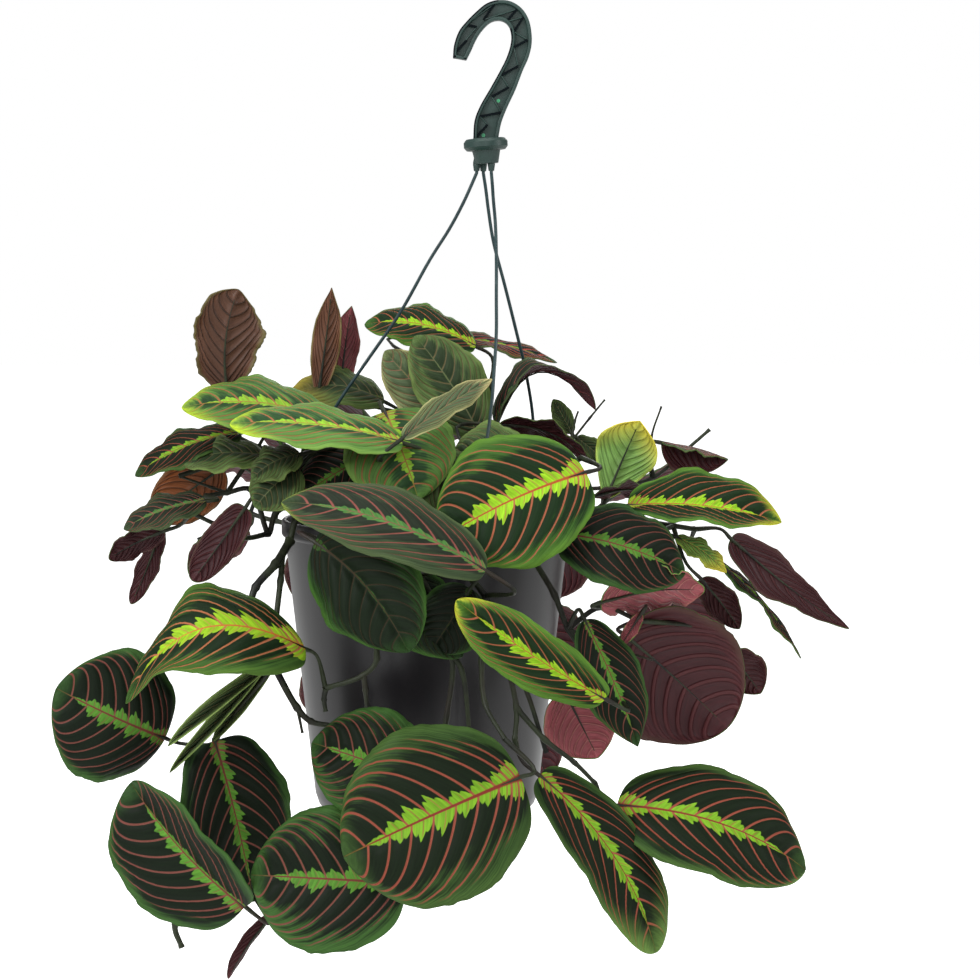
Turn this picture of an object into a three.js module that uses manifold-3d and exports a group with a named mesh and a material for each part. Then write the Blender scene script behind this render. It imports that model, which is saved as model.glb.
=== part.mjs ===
/**
 * A red-veined prayer plant in a plastic hanging pot, in millimetres, with +Z up and -Y to the front.
 * The origin is the top of the hook's bend, on the inside, where a rail carries the whole.
 */
import * as THREE from "three";
import { mergeVertices } from "three/addons/utils/BufferGeometryUtils.js";
import Module from "manifold-3d";

const wasm = await Module();
wasm.setup();

// The pot, round an upright axis that stands left of the hook
const POT_AXIS = -43;
const LIP_TOP = -298;
const LIP_RADIUS = 87;
const LIP_HEIGHT = 10;
const LIP_OVERHANG = 2;
const POT_BOTTOM = -475;
const POT_FLAT_RADIUS = 54;
const POT_CORNER_TOP = -462;
const POT_CORNER_RADIUS = 67;
const WALL = 2;
const ROUND_STEPS = 32;
const DRAIN_HOLES = 6;
const DRAIN_RADIUS = 4;
const DRAIN_CIRCLE = 38;

// The soil, which fills the pot to below the lip
const SOIL_TOP = -326;
const SOIL_LUMP = 2.5;
const SOIL_RINGS = 4;
const CLEAR = 0.35;

// The hanger: a hook, a round collar with a tapered body under it, and three strands
const HOOK_THICKNESS = 8;
const HOOK_WEB = 2.6;
const HOOK_EDGE = 2;
const RIB_WIDTH = 1.3;
const RIB_BELOW_EDGE = 0.5;
const RIB_SPAN = 2;
const COLLAR_CENTRE = -7.8;
const COLLAR_TOP = -70.5;
const COLLAR_RADIUS = 13.2;
const COLLAR_HEIGHT = 7;
const BODY_TOP_RADIUS = 8.5;
const BODY_BOTTOM_RADIUS = 6.8;
const BODY_BOTTOM = -85.5;
const TAB_BOTTOM = -90;
const TAB_RADIUS = 2;
const SOCKET_RADIUS = 1.4;
const SOCKET_TOP = -86;
const STRAND_RADIUS = 1;
const PIN_HEIGHT = -316;
const PIN_RADIUS = 1.5;
const PIN_HOLE_RADIUS = 1.9;
const PIN_INSIDE = 3;
const BUTTON_RADIUS = 3.5;
const BUTTON_THICKNESS = 1.8;

// The plant
const BLADE_THICKNESS = 0.9;
const STEM_RADIUS = 1.9;
const SIDE_STEM_RADIUS = 1.5;
const STALK_RADIUS = 1.3;
const ROOT_DEPTH = 20;
const ROOT_CLEAR = 1.2;
const LEAF_LENGTHS = [42, 64, 100];
const BROAD_LEAF = 72;
const SMALLEST = 0.45;

// The eye from which the picture shows the plant. Places are given as seen from there, by how far
// right and up they appear in the upright plane through the pot's axis, and by their true depth.
const EYE = new THREE.Vector3(-5, -1494, -150);

/** The place that appears at (right, up) from the eye and lies at the given depth. */
function seen([right, up, depth]) {
  const target = new THREE.Vector3(right, 0, up);
  return target.sub(EYE).multiplyScalar((depth - EYE.y) / -EYE.y).add(EYE);
}

/** The place at an angle round the pot's axis, 0 at +X and 270 at the front. */
function aroundPot(angle, radius, height) {
  const turn = THREE.MathUtils.degToRad(angle);
  return new THREE.Vector3(POT_AXIS + radius * Math.cos(turn), radius * Math.sin(turn), height);
}

/** The outer radius of the pot's wall at a height. */
function wallRadius(height) {
  const top = LIP_TOP - LIP_HEIGHT;
  const share = (height - POT_CORNER_TOP) / (top - POT_CORNER_TOP);
  return THREE.MathUtils.lerp(POT_CORNER_RADIUS, LIP_RADIUS - LIP_OVERHANG, share);
}

/** A closed geometry as a solid that can be joined and cut. */
function solid(geometry) {
  for (const name of Object.keys(geometry.attributes)) {
    if (name !== "position") {
      geometry.deleteAttribute(name);
    }
  }
  const merged = mergeVertices(geometry, 1e-4);
  const mesh = new wasm.Mesh({
    numProp: 3,
    vertProperties: Float32Array.from(merged.attributes.position.array),
    triVerts: Uint32Array.from(merged.index.array),
  });
  return new wasm.Manifold(mesh);
}

/** The largest of the pieces that a solid falls into, with any sealed hollow filled. */
function largestPiece(whole) {
  return whole.decompose().reduce((best, one) => (one.volume() > best.volume() ? one : best));
}

/** All the solids joined into one. */
function joined(solids) {
  return solids.reduce((whole, one) => whole.add(one));
}

/** A solid as a named mesh with its material. */
function named(name, whole, material) {
  const { numProp, vertProperties, triVerts } = whole.getMesh();
  const places = new Float32Array((vertProperties.length / numProp) * 3);
  for (let i = 0; i < places.length / 3; i += 1) {
    places.set(vertProperties.subarray(i * numProp, i * numProp + 3), i * 3);
  }
  const geometry = new THREE.BufferGeometry();
  geometry.setAttribute("position", new THREE.BufferAttribute(places, 3));
  geometry.setIndex(Array.from(triVerts));
  geometry.computeVertexNormals();
  const mesh = new THREE.Mesh(geometry, material);
  mesh.name = name;
  return mesh;
}

/** A round rod with flat ends along a curve. */
function rod(curve, radius, sides, steps) {
  const corners = [];
  for (let i = 0; i < sides; i += 1) {
    const turn = (2 * Math.PI * i) / sides;
    corners.push(new THREE.Vector2(radius * Math.cos(turn), radius * Math.sin(turn)));
  }
  const section = new THREE.Shape(corners);
  return solid(new THREE.ExtrudeGeometry(section, { steps, bevelEnabled: false, extrudePath: curve }));
}

/** A cylinder between two places, which may taper. */
function cylinder(start, end, startRadius, endRadius, sides) {
  const along = end.clone().sub(start);
  const geometry = new THREE.CylinderGeometry(endRadius, startRadius, along.length(), sides);
  const turn = new THREE.Quaternion().setFromUnitVectors(new THREE.Vector3(0, 1, 0), along.clone().normalize());
  geometry.applyQuaternion(turn);
  const middle = start.clone().add(end).multiplyScalar(0.5);
  geometry.translate(middle.x, middle.y, middle.z);
  return solid(geometry);
}

/** A solid of revolution round an upright axis. The profile is a list of [radius, height]. */
function turned(profile, axis, steps) {
  const points = profile.map(([radius, height]) => new THREE.Vector2(radius, height));
  const geometry = new THREE.LatheGeometry(points, steps);
  geometry.rotateX(Math.PI / 2);
  geometry.translate(axis, 0, 0);
  return solid(geometry);
}

/** A plate of an outline of [x, z] places, from the depth `front` to the depth `back`. */
function plate(outline, front, back) {
  const shape = new THREE.Shape(outline.map(([x, z]) => new THREE.Vector2(x, z)));
  const geometry = new THREE.ExtrudeGeometry(shape, { depth: back - front, bevelEnabled: false });
  geometry.rotateX(Math.PI / 2);
  geometry.translate(0, back, 0);
  return solid(geometry);
}

// Pot

/** The pot: a tapered shell with a rolled lip, three pin holes and drain holes. */
function makePot(pinAngles) {
  const lipBottom = LIP_TOP - LIP_HEIGHT;
  const wallTop = wallRadius(lipBottom);
  const profile = [
    [0, POT_BOTTOM],
    [POT_FLAT_RADIUS, POT_BOTTOM],
    [POT_FLAT_RADIUS + 7, POT_BOTTOM + 2.5],
    [POT_CORNER_RADIUS - 2, POT_BOTTOM + 7],
    [POT_CORNER_RADIUS, POT_CORNER_TOP],
    [wallTop, lipBottom],
    [LIP_RADIUS - 0.8, lipBottom],
    [LIP_RADIUS, lipBottom + 1.5],
    [LIP_RADIUS, LIP_TOP - 1],
    [LIP_RADIUS - 1, LIP_TOP],
    [wallRadius(LIP_TOP) - WALL, LIP_TOP],
    [POT_CORNER_RADIUS - WALL, POT_CORNER_TOP],
    [POT_FLAT_RADIUS + 5, POT_BOTTOM + 4.5],
    [POT_FLAT_RADIUS, POT_BOTTOM + WALL],
    [0, POT_BOTTOM + WALL],
  ];
  let pot = turned(profile, POT_AXIS, ROUND_STEPS);
  for (let i = 0; i < DRAIN_HOLES; i += 1) {
    const angle = 30 + (360 * i) / DRAIN_HOLES;
    const low = aroundPot(angle, DRAIN_CIRCLE, POT_BOTTOM - 1);
    const high = aroundPot(angle, DRAIN_CIRCLE, POT_BOTTOM + WALL + 1);
    pot = pot.subtract(cylinder(low, high, DRAIN_RADIUS, DRAIN_RADIUS, 12));
  }
  for (const angle of pinAngles) {
    const inside = aroundPot(angle, wallRadius(PIN_HEIGHT) - 2 * WALL, PIN_HEIGHT);
    const outside = aroundPot(angle, LIP_RADIUS, PIN_HEIGHT);
    pot = pot.subtract(cylinder(inside, outside, PIN_HOLE_RADIUS, PIN_HOLE_RADIUS, 10));
  }
  return pot;
}

/** The soil's lumps: its height above or below its mean level. */
function lump(x, y) {
  return SOIL_LUMP * (0.6 * Math.sin(x / 9 + 1) * Math.cos(y / 11) + 0.4 * Math.sin((x + y) / 5));
}

/** The soil: it fills the pot, with a lumpy top and a plain hole for each stem. */
function makeSoil(roots) {
  const side = wallRadius(SOIL_TOP) - WALL - CLEAR;
  const foot = POT_BOTTOM + WALL + CLEAR;
  const corner = POT_CORNER_RADIUS - WALL - CLEAR;
  const profile = [
    [0, foot],
    [POT_FLAT_RADIUS - 1, foot],
    [corner, POT_CORNER_TOP + 1],
  ];
  for (let ring = 0; ring <= SOIL_RINGS; ring += 1) {
    profile.push([side * (1 - ring / SOIL_RINGS), SOIL_TOP]);
  }
  const points = profile.map(([radius, height]) => new THREE.Vector2(radius, height));
  const geometry = new THREE.LatheGeometry(points, ROUND_STEPS / 2);
  geometry.rotateX(Math.PI / 2);
  const places = geometry.attributes.position;
  for (let i = 0; i < places.count; i += 1) {
    if (places.getZ(i) > SOIL_TOP - 1) {
      places.setZ(i, SOIL_TOP + lump(places.getX(i), places.getY(i)));
    }
  }
  geometry.translate(POT_AXIS, 0, 0);
  let soil = solid(geometry);
  for (const root of roots) {
    const low = root.clone().setZ(SOIL_TOP - ROOT_DEPTH - CLEAR);
    const high = root.clone().setZ(SOIL_TOP + 3 * SOIL_LUMP);
    const radius = STEM_RADIUS + ROOT_CLEAR;
    soil = soil.subtract(cylinder(low, high, radius, radius, 8));
  }
  return soil;
}

// Hanger

// The hook's outer and inner edge in pairs, from its free end round the bend and down to the collar
const HOOK_STATIONS = [
  [[-27.1, -22.3], [-19.2, -23.7]],
  [[-26.4, -15], [-16.6, -18.6]],
  [[-23.4, -6.6], [-12.8, -10.4]],
  [[-19.2, -1.2], [-9.2, -5.3]],
  [[-12.8, 5.2], [-5.4, -1.6]],
  [[-7, 9.8], [-2.6, -0.3]],
  [[0, 11.9], [0, 0]],
  [[7.2, 11.2], [2.4, -0.4]],
  [[13.8, 7.1], [4.8, -1.8]],
  [[18, 0.6], [6.9, -4.8]],
  [[19.8, -7.8], [7.8, -9.5]],
  [[19.8, -15], [7.2, -15.4]],
  [[18, -22.2], [4.8, -22.8]],
  [[14.7, -29.6], [0.9, -30.6]],
  [[10.2, -41.4], [-4.8, -40.8]],
  [[5.4, -51.6], [-11, -51.6]],
  [[1.8, -60.9], [-14.2, -60]],
  [[-0.3, -72], [-15, -72]],
];

/** A pair of places moved towards each other by a distance. */
function inset([outer, inner], distance) {
  const a = new THREE.Vector2(...outer);
  const b = new THREE.Vector2(...inner);
  const step = b.clone().sub(a).setLength(distance);
  return [a.add(step).toArray(), b.sub(step).toArray()];
}

/** The outline that runs along the outer places and back along the inner ones. */
function bandOutline(stations) {
  return [...stations.map((pair) => pair[0]), ...stations.map((pair) => pair[1]).reverse()];
}

/** The hook with its sunk web and zigzag ribs, its collar, and the body that holds the strands. */
function makeHook(exits) {
  const half = HOOK_THICKNESS / 2;
  const web = HOOK_WEB / 2;
  const pocket = HOOK_STATIONS.slice(1, -1).map((pair) => inset(pair, HOOK_EDGE));
  let hook = plate(bandOutline(HOOK_STATIONS), -half, half);
  hook = hook.subtract(plate(bandOutline(pocket), -half - 1, -web));
  hook = hook.subtract(plate(bandOutline(pocket), web, half + 1));
  const ribHalf = half - RIB_BELOW_EDGE;
  for (let i = 0; i + RIB_SPAN < pocket.length; i += RIB_SPAN) {
    const side = (i / RIB_SPAN) % 2;
    const start = new THREE.Vector2(...pocket[i][side]);
    const end = new THREE.Vector2(...pocket[i + RIB_SPAN][1 - side]);
    const along = end.clone().sub(start).normalize();
    const sideways = new THREE.Vector2(-along.y, along.x).multiplyScalar(RIB_WIDTH / 2);
    start.addScaledVector(along, -HOOK_EDGE / 2);
    end.addScaledVector(along, HOOK_EDGE / 2);
    const outline = [
      start.clone().sub(sideways),
      end.clone().sub(sideways),
      end.clone().add(sideways),
      start.clone().add(sideways),
    ].map((corner) => corner.toArray());
    hook = hook.add(plate(outline, -ribHalf, ribHalf));
  }
  const collarBottom = COLLAR_TOP - COLLAR_HEIGHT;
  const collar = [
    [0, BODY_BOTTOM],
    [BODY_BOTTOM_RADIUS, BODY_BOTTOM],
    [BODY_TOP_RADIUS, collarBottom],
    [COLLAR_RADIUS - 1.6, collarBottom],
    [COLLAR_RADIUS, collarBottom + 2],
    [COLLAR_RADIUS, COLLAR_TOP - 2],
    [COLLAR_RADIUS - 1.6, COLLAR_TOP],
    [0, COLLAR_TOP],
  ];
  hook = hook.add(turned(collar, COLLAR_CENTRE, ROUND_STEPS / 2));
  for (const exit of exits) {
    const top = exit.clone().setZ(BODY_BOTTOM + 2);
    const bottom = exit.clone().setZ(TAB_BOTTOM);
    hook = hook.add(cylinder(bottom, top, TAB_RADIUS, TAB_RADIUS + 0.6, 8));
    const socketTop = exit.clone().setZ(SOCKET_TOP);
    const socketBottom = exit.clone().setZ(TAB_BOTTOM - 1);
    hook = hook.subtract(cylinder(socketBottom, socketTop, SOCKET_RADIUS, SOCKET_RADIUS, 8));
  }
  return hook;
}

// Each strand's exit under the collar, the angle of its hole in the pot, and its way as seen
const STRANDS = [
  {
    name: "strand_left",
    exit: [-13, 1],
    angle: 165,
    way: [
      [-16, -98, 1], [-21, -109, 1], [-29, -124, 3], [-41, -143, 4], [-59, -175, 7],
      [-79, -204, 9], [-98, -232, 12], [-111, -258, 15], [-118, -286, 18],
    ],
  },
  {
    name: "strand_back",
    exit: [-9, 4.2],
    angle: 45,
    way: [
      [-7.5, -101, 6], [-6, -113, 9], [-3, -132, 13], [4, -159, 19], [11, -187, 26],
      [16, -208, 31], [21, -241, 41], [20, -270, 48], [16, -296, 53],
    ],
  },
  {
    name: "strand_front",
    exit: [-4.2, -3.2],
    angle: 285,
    way: [
      [-3.6, -98, -6], [-3, -107, -10], [-1.8, -121, -15], [-1.2, -141, -22], [-1.2, -166, -31],
      [-1.2, -187, -38], [-2.4, -208, -45], [-4, -230, -52], [-8, -257, -61], [-16, -288, -70],
    ],
  },
];

/** The place where a strand leaves the body under the collar. */
function exitOf(strand) {
  return new THREE.Vector3(strand.exit[0], strand.exit[1], SOCKET_TOP - CLEAR);
}

/** A strand from its socket to the pot, with its pin through the wall and the button outside. */
function makeStrand(strand) {
  const top = exitOf(strand);
  const wallInside = wallRadius(PIN_HEIGHT) - WALL;
  const foot = aroundPot(strand.angle, wallInside - PIN_INSIDE, PIN_HEIGHT);
  const leaving = top.clone().setZ(TAB_BOTTOM - 1);
  const places = [
    leaving,
    ...strand.way.map(seen),
    foot.clone().setZ(PIN_HEIGHT + 8),
    foot,
  ];
  const curve = new THREE.CatmullRomCurve3(places, false, "centripetal");
  const line = rod(curve, STRAND_RADIUS, 5, 20);
  const buttonStart = wallRadius(PIN_HEIGHT + BUTTON_RADIUS) + CLEAR;
  const button = aroundPot(strand.angle, buttonStart, PIN_HEIGHT);
  const end = aroundPot(strand.angle, buttonStart + BUTTON_THICKNESS, PIN_HEIGHT);
  const pinStart = aroundPot(strand.angle, wallInside - PIN_INSIDE - PIN_RADIUS, PIN_HEIGHT);
  return joined([
    line,
    cylinder(top.clone().setZ(TAB_BOTTOM - 2), top, STRAND_RADIUS, STRAND_RADIUS, 5),
    cylinder(pinStart, end, PIN_RADIUS, PIN_RADIUS, 6),
    cylinder(button, end, BUTTON_RADIUS, BUTTON_RADIUS - 0.6, 10),
  ]);
}

// Leaves

/** A leaf's own axes: its length, and the directions along it, out of its upper face, and across. */
function leafAxes(leaf) {
  const base = seen(leaf.base);
  const along = seen(leaf.tip).sub(base);
  const length = along.length();
  along.normalize();
  const facing = new THREE.Vector3(...leaf.face);
  facing.addScaledVector(along, -facing.dot(along)).normalize();
  const across = along.clone().cross(facing);
  return { base, length, along, facing, across };
}

/** The midrib's place, its direction, and the turned facing and across directions at t from 0 to 1. */
function midrib(leaf, axes, t) {
  const { bow = 0, sweep = 0, twist = 0 } = leaf;
  const rise = 4 * t * (1 - t);
  const slope = 4 * (1 - 2 * t);
  const place = axes.base.clone()
    .addScaledVector(axes.along, axes.length * t)
    .addScaledVector(axes.facing, bow * rise)
    .addScaledVector(axes.across, sweep * rise);
  const direction = axes.along.clone().multiplyScalar(axes.length)
    .addScaledVector(axes.facing, bow * slope)
    .addScaledVector(axes.across, sweep * slope)
    .normalize();
  const facing = axes.facing.clone();
  facing.addScaledVector(direction, -facing.dot(direction)).normalize();
  facing.applyAxisAngle(direction, THREE.MathUtils.degToRad(twist) * (t - 0.25));
  const across = direction.clone().cross(facing);
  return { place, direction, facing, across };
}

/** The blade's half width at t: blunt at its base, more pointed at its tip. */
function halfWidth(leaf, t) {
  const { belly = 0.97, blunt = 0.52, taper = 0 } = leaf;
  const round = Math.max(Math.sin(Math.PI * t ** belly), 0) ** (blunt * (0.7 + 0.6 * t));
  return (leaf.width / 2) * round * (1 - taper * THREE.MathUtils.smoothstep(t, 0.35, 0.85));
}

/** A place on the blade's middle sheet, at t along it and at s from -1 to 1 across it. */
function sheetPlace(leaf, axes, t, s) {
  const { fold = 12, curl = -14, wave = 2, waves = 2.5 } = leaf;
  const rib = midrib(leaf, axes, t);
  const out = Math.abs(s);
  const lean = THREE.MathUtils.degToRad(fold + curl * out);
  const reach = halfWidth(leaf, t) * out;
  const ripple = wave * out * out * Math.sin(2 * Math.PI * waves * t + (s > 0 ? 0 : 2));
  return rib.place
    .addScaledVector(rib.across, Math.sign(s) * reach * Math.cos(lean))
    .addScaledVector(rib.facing, reach * Math.sin(lean) + ripple * Math.sin(Math.PI * t));
}

/** The blade: a thin waved sheet, cut into triangles alike on both faces. */
function bladeSolid(leaf, axes) {
  const alongSteps = 3 + LEAF_LENGTHS.filter((length) => axes.length > length).length;
  const across = leaf.width > BROAD_LEAF ? [-1, -0.5, 0, 0.5, 1] : [-1, 0, 1];
  const rows = [];
  const places = [];
  for (let i = 0; i <= alongSteps; i += 1) {
    const t = (1 - Math.cos((Math.PI * i) / alongSteps)) / 2;
    const rib = midrib(leaf, axes, t);
    const columns = i === 0 || i === alongSteps ? [0] : across;
    rows.push(columns.map((s) => {
      const place = sheetPlace(leaf, axes, t, s);
      const { fold = 12, curl = -14 } = leaf;
      const lean = Math.sign(s) * THREE.MathUtils.degToRad(fold + 2 * curl * Math.abs(s));
      const normal = rib.facing.clone().multiplyScalar(Math.cos(lean))
        .addScaledVector(rib.across, -Math.sin(lean));
      places.push(place.clone().addScaledVector(normal, BLADE_THICKNESS / 2));
      places.push(place.clone().addScaledVector(normal, -BLADE_THICKNESS / 2));
      return places.length - 2;
    }));
  }
  const triangles = [];
  const face = (a, b, c) => {
    triangles.push(a, b, c, a + 1, c + 1, b + 1);
  };
  const edge = (a, b) => {
    triangles.push(a, a + 1, b + 1, a, b + 1, b);
  };
  for (let i = 0; i < alongSteps; i += 1) {
    const near = rows[i];
    const far = rows[i + 1];
    for (let j = 0; j + 1 < across.length; j += 1) {
      if (near.length === 1) {
        face(near[0], far[j + 1], far[j]);
      } else if (far.length === 1) {
        face(near[j], near[j + 1], far[0]);
      } else {
        face(near[j], near[j + 1], far[j + 1]);
        face(near[j], far[j + 1], far[j]);
      }
    }
    edge(near[near.length - 1], far[far.length - 1]);
    edge(far[0], near[0]);
  }
  const geometry = new THREE.BufferGeometry();
  const numbers = Float32Array.from(places.flatMap((place) => place.toArray()));
  geometry.setAttribute("position", new THREE.BufferAttribute(numbers, 3));
  geometry.setIndex(triangles);
  return solid(geometry);
}

/** A leaf with its stalk, which leaves a stem at the given place. */
function makeLeaf(leaf, start) {
  const axes = leafAxes(leaf);
  const inBlade = midrib(leaf, axes, 0.1);
  const first = midrib(leaf, axes, 0);
  const distance = start.distanceTo(first.place);
  const lead = first.place.clone().addScaledVector(first.direction, -0.4 * distance);
  const stalk = new THREE.CatmullRomCurve3([start, lead, first.place, inBlade.place], false, "centripetal");
  const steps = distance > 50 ? 3 : 2;
  return [bladeSolid(leaf, axes), rod(stalk, STALK_RADIUS, 3, steps)];
}

/** The places that a shoot's main stem passes before those of its own list. */
function riseOf(shoot) {
  const [angle, radius] = shoot.root;
  const start = [
    aroundPot(angle, radius, SOIL_TOP - ROOT_DEPTH),
    aroundPot(angle, radius, SOIL_TOP - 2),
    aroundPot(angle, radius, SOIL_TOP + 7),
  ];
  if (shoot.over === undefined) {
    return start;
  }
  return [
    ...start,
    aroundPot(shoot.over, LIP_RADIUS - 6, LIP_TOP + 8),
    aroundPot(shoot.over, LIP_RADIUS + 4, LIP_TOP + 4),
    aroundPot(shoot.over, LIP_RADIUS + 8, LIP_TOP - 8),
  ];
}

/** A leafy stem: its main stem, its side stems, and its leaves on their stalks, in one solid. */
function makeShoot(shoot) {
  const stems = [];
  const solids = [];
  shoot.stems.forEach((stem, number) => {
    const start = number === 0 ? riseOf(shoot) : [stems[stem.from[0]][stem.from[1]].clone()];
    const places = [...start, ...stem.places.map(seen)];
    stems.push(places);
    const curve = new THREE.CatmullRomCurve3(places, false, "centripetal");
    const { radius = number === 0 ? STEM_RADIUS : SIDE_STEM_RADIUS } = stem;
    solids.push(rod(curve, radius, number === 0 ? 4 : 3, Math.round(1.4 * places.length)));
  });
  for (const leaf of shoot.leaves) {
    const [stem, place] = leaf.at;
    solids.push(...makeLeaf(leaf, stems[stem][place].clone()));
  }
  return largestPiece(joined(solids).simplify(SMALLEST));
}

// Each shoot has the angle and radius of its root, the angle at which it crosses the lip if it
// does, its stems, and its leaves. A leaf leaves stem at[0] at place at[1]. Its base and tip are
// places as seen, and face is the way that its upper face looks. The bow lifts its middle, the
// sweep bends it sideways, the fold and curl shape it across, all in millimetres or degrees. The
// belly moves its widest place to the tip, a small blunt squares its ends, and the taper narrows
// it towards the tip.
const SHOOTS = [
  {
    name: "shoot_left_low",
    root: [215, 55],
    over: 215,
    stems: [
      {
        places: [
          [-129, -318, -60], [-131, -336, -68], [-134, -362, -76], [-136, -386, -82],
          [-158, -416, -74], [-171, -436, -64], [-164, -480, -52], [-150, -522, -56],
        ],
      },
      { from: [0, 12], radius: 2.2, places: [[-176, -520, -54], [-195, -544, -54], [-191, -558, -54]] },
      { from: [0, 5], radius: 2.6, places: [[-134, -326, -70], [-146, -340, -78], [-150, -353, -82]] },
      { from: [0, 9], radius: 2.1, places: [[-121, -413, -84], [-113, -421, -86], [-98, -424, -86]] },
      { from: [3, 1], radius: 1, places: [[-118, -428, -84]] },
    ],
    leaves: [
      { at: [0, 11], base: [-201, -431, -62], tip: [-266, -401, -86], width: 80,
        face: [-0.1, -0.98, 0.15], bow: 8, fold: 6, belly: 1, blunt: 0.44 },
      { at: [0, 13], base: [-153, -533, -98], tip: [-221, -458, -90], width: 84,
        face: [-0.39, -0.85, -0.36], bow: 6, fold: 30, curl: -8, belly: 1, blunt: 0.45 },
      { at: [0, 11], base: [-171, -433, -66], tip: [-148, -530, -62], width: 64,
        face: [0.4, -0.9, 0.1], bow: 6, fold: 24, belly: 0.85, blunt: 0.42 },
      { at: [0, 9], base: [-137, -386, -88], tip: [-199, -436, -98], width: 16,
        face: [0.2, -0.8, 0.5], bow: 3, fold: 58, curl: 0, wave: 0.5 },
      { at: [0, 9], base: [-140, -388, -82], tip: [-198, -452, -80], width: 16,
        face: [0.2, -0.8, 0.5], bow: -3, fold: 62, curl: 0, wave: 0.5 },
      { at: [0, 9], base: [-135, -386, -78], tip: [-172, -433, -72], width: 14,
        face: [0.2, -0.8, 0.5], fold: 50, curl: 0, wave: 0.5 },
      { at: [0, 11], base: [-175, -438, -68], tip: [-185, -466, -62], width: 9,
        face: [-0.4, -0.8, 0.3], fold: 50, curl: 0, wave: 0.5 },
      { at: [0, 13], base: [-137, -539, -66], tip: [-163, -577, -72], width: 11,
        face: [-0.5, 0.8, 0.1], bow: 3, fold: 40, curl: 0, wave: 0.5, blunt: 0.4 },
    ],
  },
  {
    name: "shoot_front_left",
    root: [238, 57],
    over: 238,
    stems: [
      { places: [[-88, -340, -92], [-73, -383, -96], [-81, -393, -98], [-104, -401, -98]] },
      { from: [0, 8], places: [[-80, -402, -98], [-79, -413, -98]] },
      { from: [0, 9], places: [[-105, -408, -97], [-104, -415, -97]] },
    ],
    leaves: [
      { at: [0, 9], base: [-117, -377, -98], tip: [-224, -410, -108], width: 74,
        face: [-0.15, -0.66, 0.75], bow: 40, fold: 10, blunt: 0.5, taper: 0.6 },
      { at: [0, 5], base: [-110, -313, -114], tip: [-54, -379, -132], width: 62,
        face: [-0.55, -0.72, 0.42], bow: 8, sweep: -8, fold: 20, curl: -20, blunt: 0.5 },
    ],
  },
  {
    name: "shoot_front_mid",
    root: [258, 56],
    over: 258,
    stems: [
      { places: [[-48, -332, -103], [-28, -380, -104], [-31, -418, -106], [-36, -448, -108]] },
      { from: [0, 7], places: [[-22, -390, -107], [-17, -432, -110]] },
    ],
    leaves: [
      { at: [0, 9], base: [-41, -460, -116], tip: [-112, -434, -98], width: 62,
        face: [-0.1, -0.92, 0.35], bow: 8, blunt: 0.5 },
      { at: [0, 9], base: [-56, -519, -124], tip: [-149, -514, -116], width: 80,
        face: [-0.05, -0.96, 0.25], bow: 6, belly: 1, blunt: 0.45 },
      { at: [0, 6], base: [-72, -330, -102], tip: [-22, -382, -108], width: 50,
        face: [0.5, -0.7, 0.45], bow: 4 },
      { at: [0, 6], base: [-17, -341, -114], tip: [-41, -379, -114], width: 40,
        face: [0.2, -0.9, 0.3], bow: 4 },
    ],
  },
  {
    name: "shoot_front_right",
    root: [276, 56],
    over: 276,
    stems: [
      { places: [[-8, -345, -100], [4, -383, -104], [11, -413, -108], [10, -432, -112]] },
      { from: [0, 6], places: [[-10, -385, -112], [-8, -410, -118], [4, -432, -132]] },
      { from: [0, 8], places: [[28, -432, -112], [46, -446, -112], [58, -458, -110]] },
      { from: [0, 7], places: [[14, -396, -102], [29, -440, -104]] },
    ],
    leaves: [
      { at: [1, 3], base: [13, -455, -146], tip: [-93, -503, -152], width: 97,
        face: [0, -0.96, 0.28], bow: 12, belly: 1, blunt: 0.45 },
      { at: [0, 9], base: [25, -454, -132], tip: [95, -561, -130], width: 43,
        face: [0.4, -0.85, 0.3], bow: 8, sweep: -7, belly: 1.15, blunt: 0.36 },
      { at: [2, 3], base: [72, -472, -108], tip: [185, -511, -104], width: 66,
        face: [0.1, -0.8, 0.6], bow: 20, blunt: 0.45 },
      { at: [0, 6], base: [-8, -330, -148], tip: [-130, -289, -136], width: 45,
        face: [-0.05, -0.75, 0.65], bow: 16 },
    ],
  },
  {
    name: "shoot_right_low",
    root: [308, 56],
    over: 308,
    stems: [
      { places: [[34, -345, -86], [42, -365, -88], [58, -388, -86], [66, -400, -90]] },
      { from: [0, 7], places: [[62, -352, -84], [84, -360, -80]] },
      { from: [0, 7], radius: 0.9, places: [[70, -377, -92], [93, -384, -100]] },
    ],
    leaves: [
      { at: [0, 9], base: [64, -407, -134], tip: [-25, -348, -156], width: 36,
        face: [-0.2, -0.9, -0.1], bow: 6, fold: 24, belly: 1.15, blunt: 0.42 },
      { at: [0, 7], base: [52, -360, -102], tip: [84, -436, -108], width: 37,
        face: [0.2, -0.95, 0.2], bow: 6, blunt: 0.7 },
      { at: [0, 9], base: [40, -403, -84], tip: [60, -443, -88], width: 42,
        face: [-0.1, 0.95, 0.1], bow: 4 },
      { at: [1, 1], base: [62, -349, -98], tip: [124, -342, -92], width: 48,
        face: [0, 0.6, 0.8], bow: 4, wave: 3.5, waves: 4, blunt: 0.42 },
      { at: [1, 2], base: [75, -368, -80], tip: [138, -425, -72], width: 82,
        face: [0.1, 0.95, 0.1], bow: 6, belly: 1, blunt: 0.4 },
      { at: [1, 2], base: [139, -380, -60], tip: [158, -404, -54], width: 26,
        face: [0.1, 0.95, 0.1], bow: 3 },
      { at: [0, 5], base: [37, -308, -103], tip: [112, -332, -104], width: 54,
        face: [0, -0.78, 0.62], bow: 8, blunt: 0.48 },
      { at: [1, 2], base: [86, -356, -92], tip: [74, -375, -94], width: 8,
        face: [0.3, 0.9, 0.1], fold: 5 },
    ],
  },
  {
    name: "shoot_right",
    root: [335, 55],
    over: 335,
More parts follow.
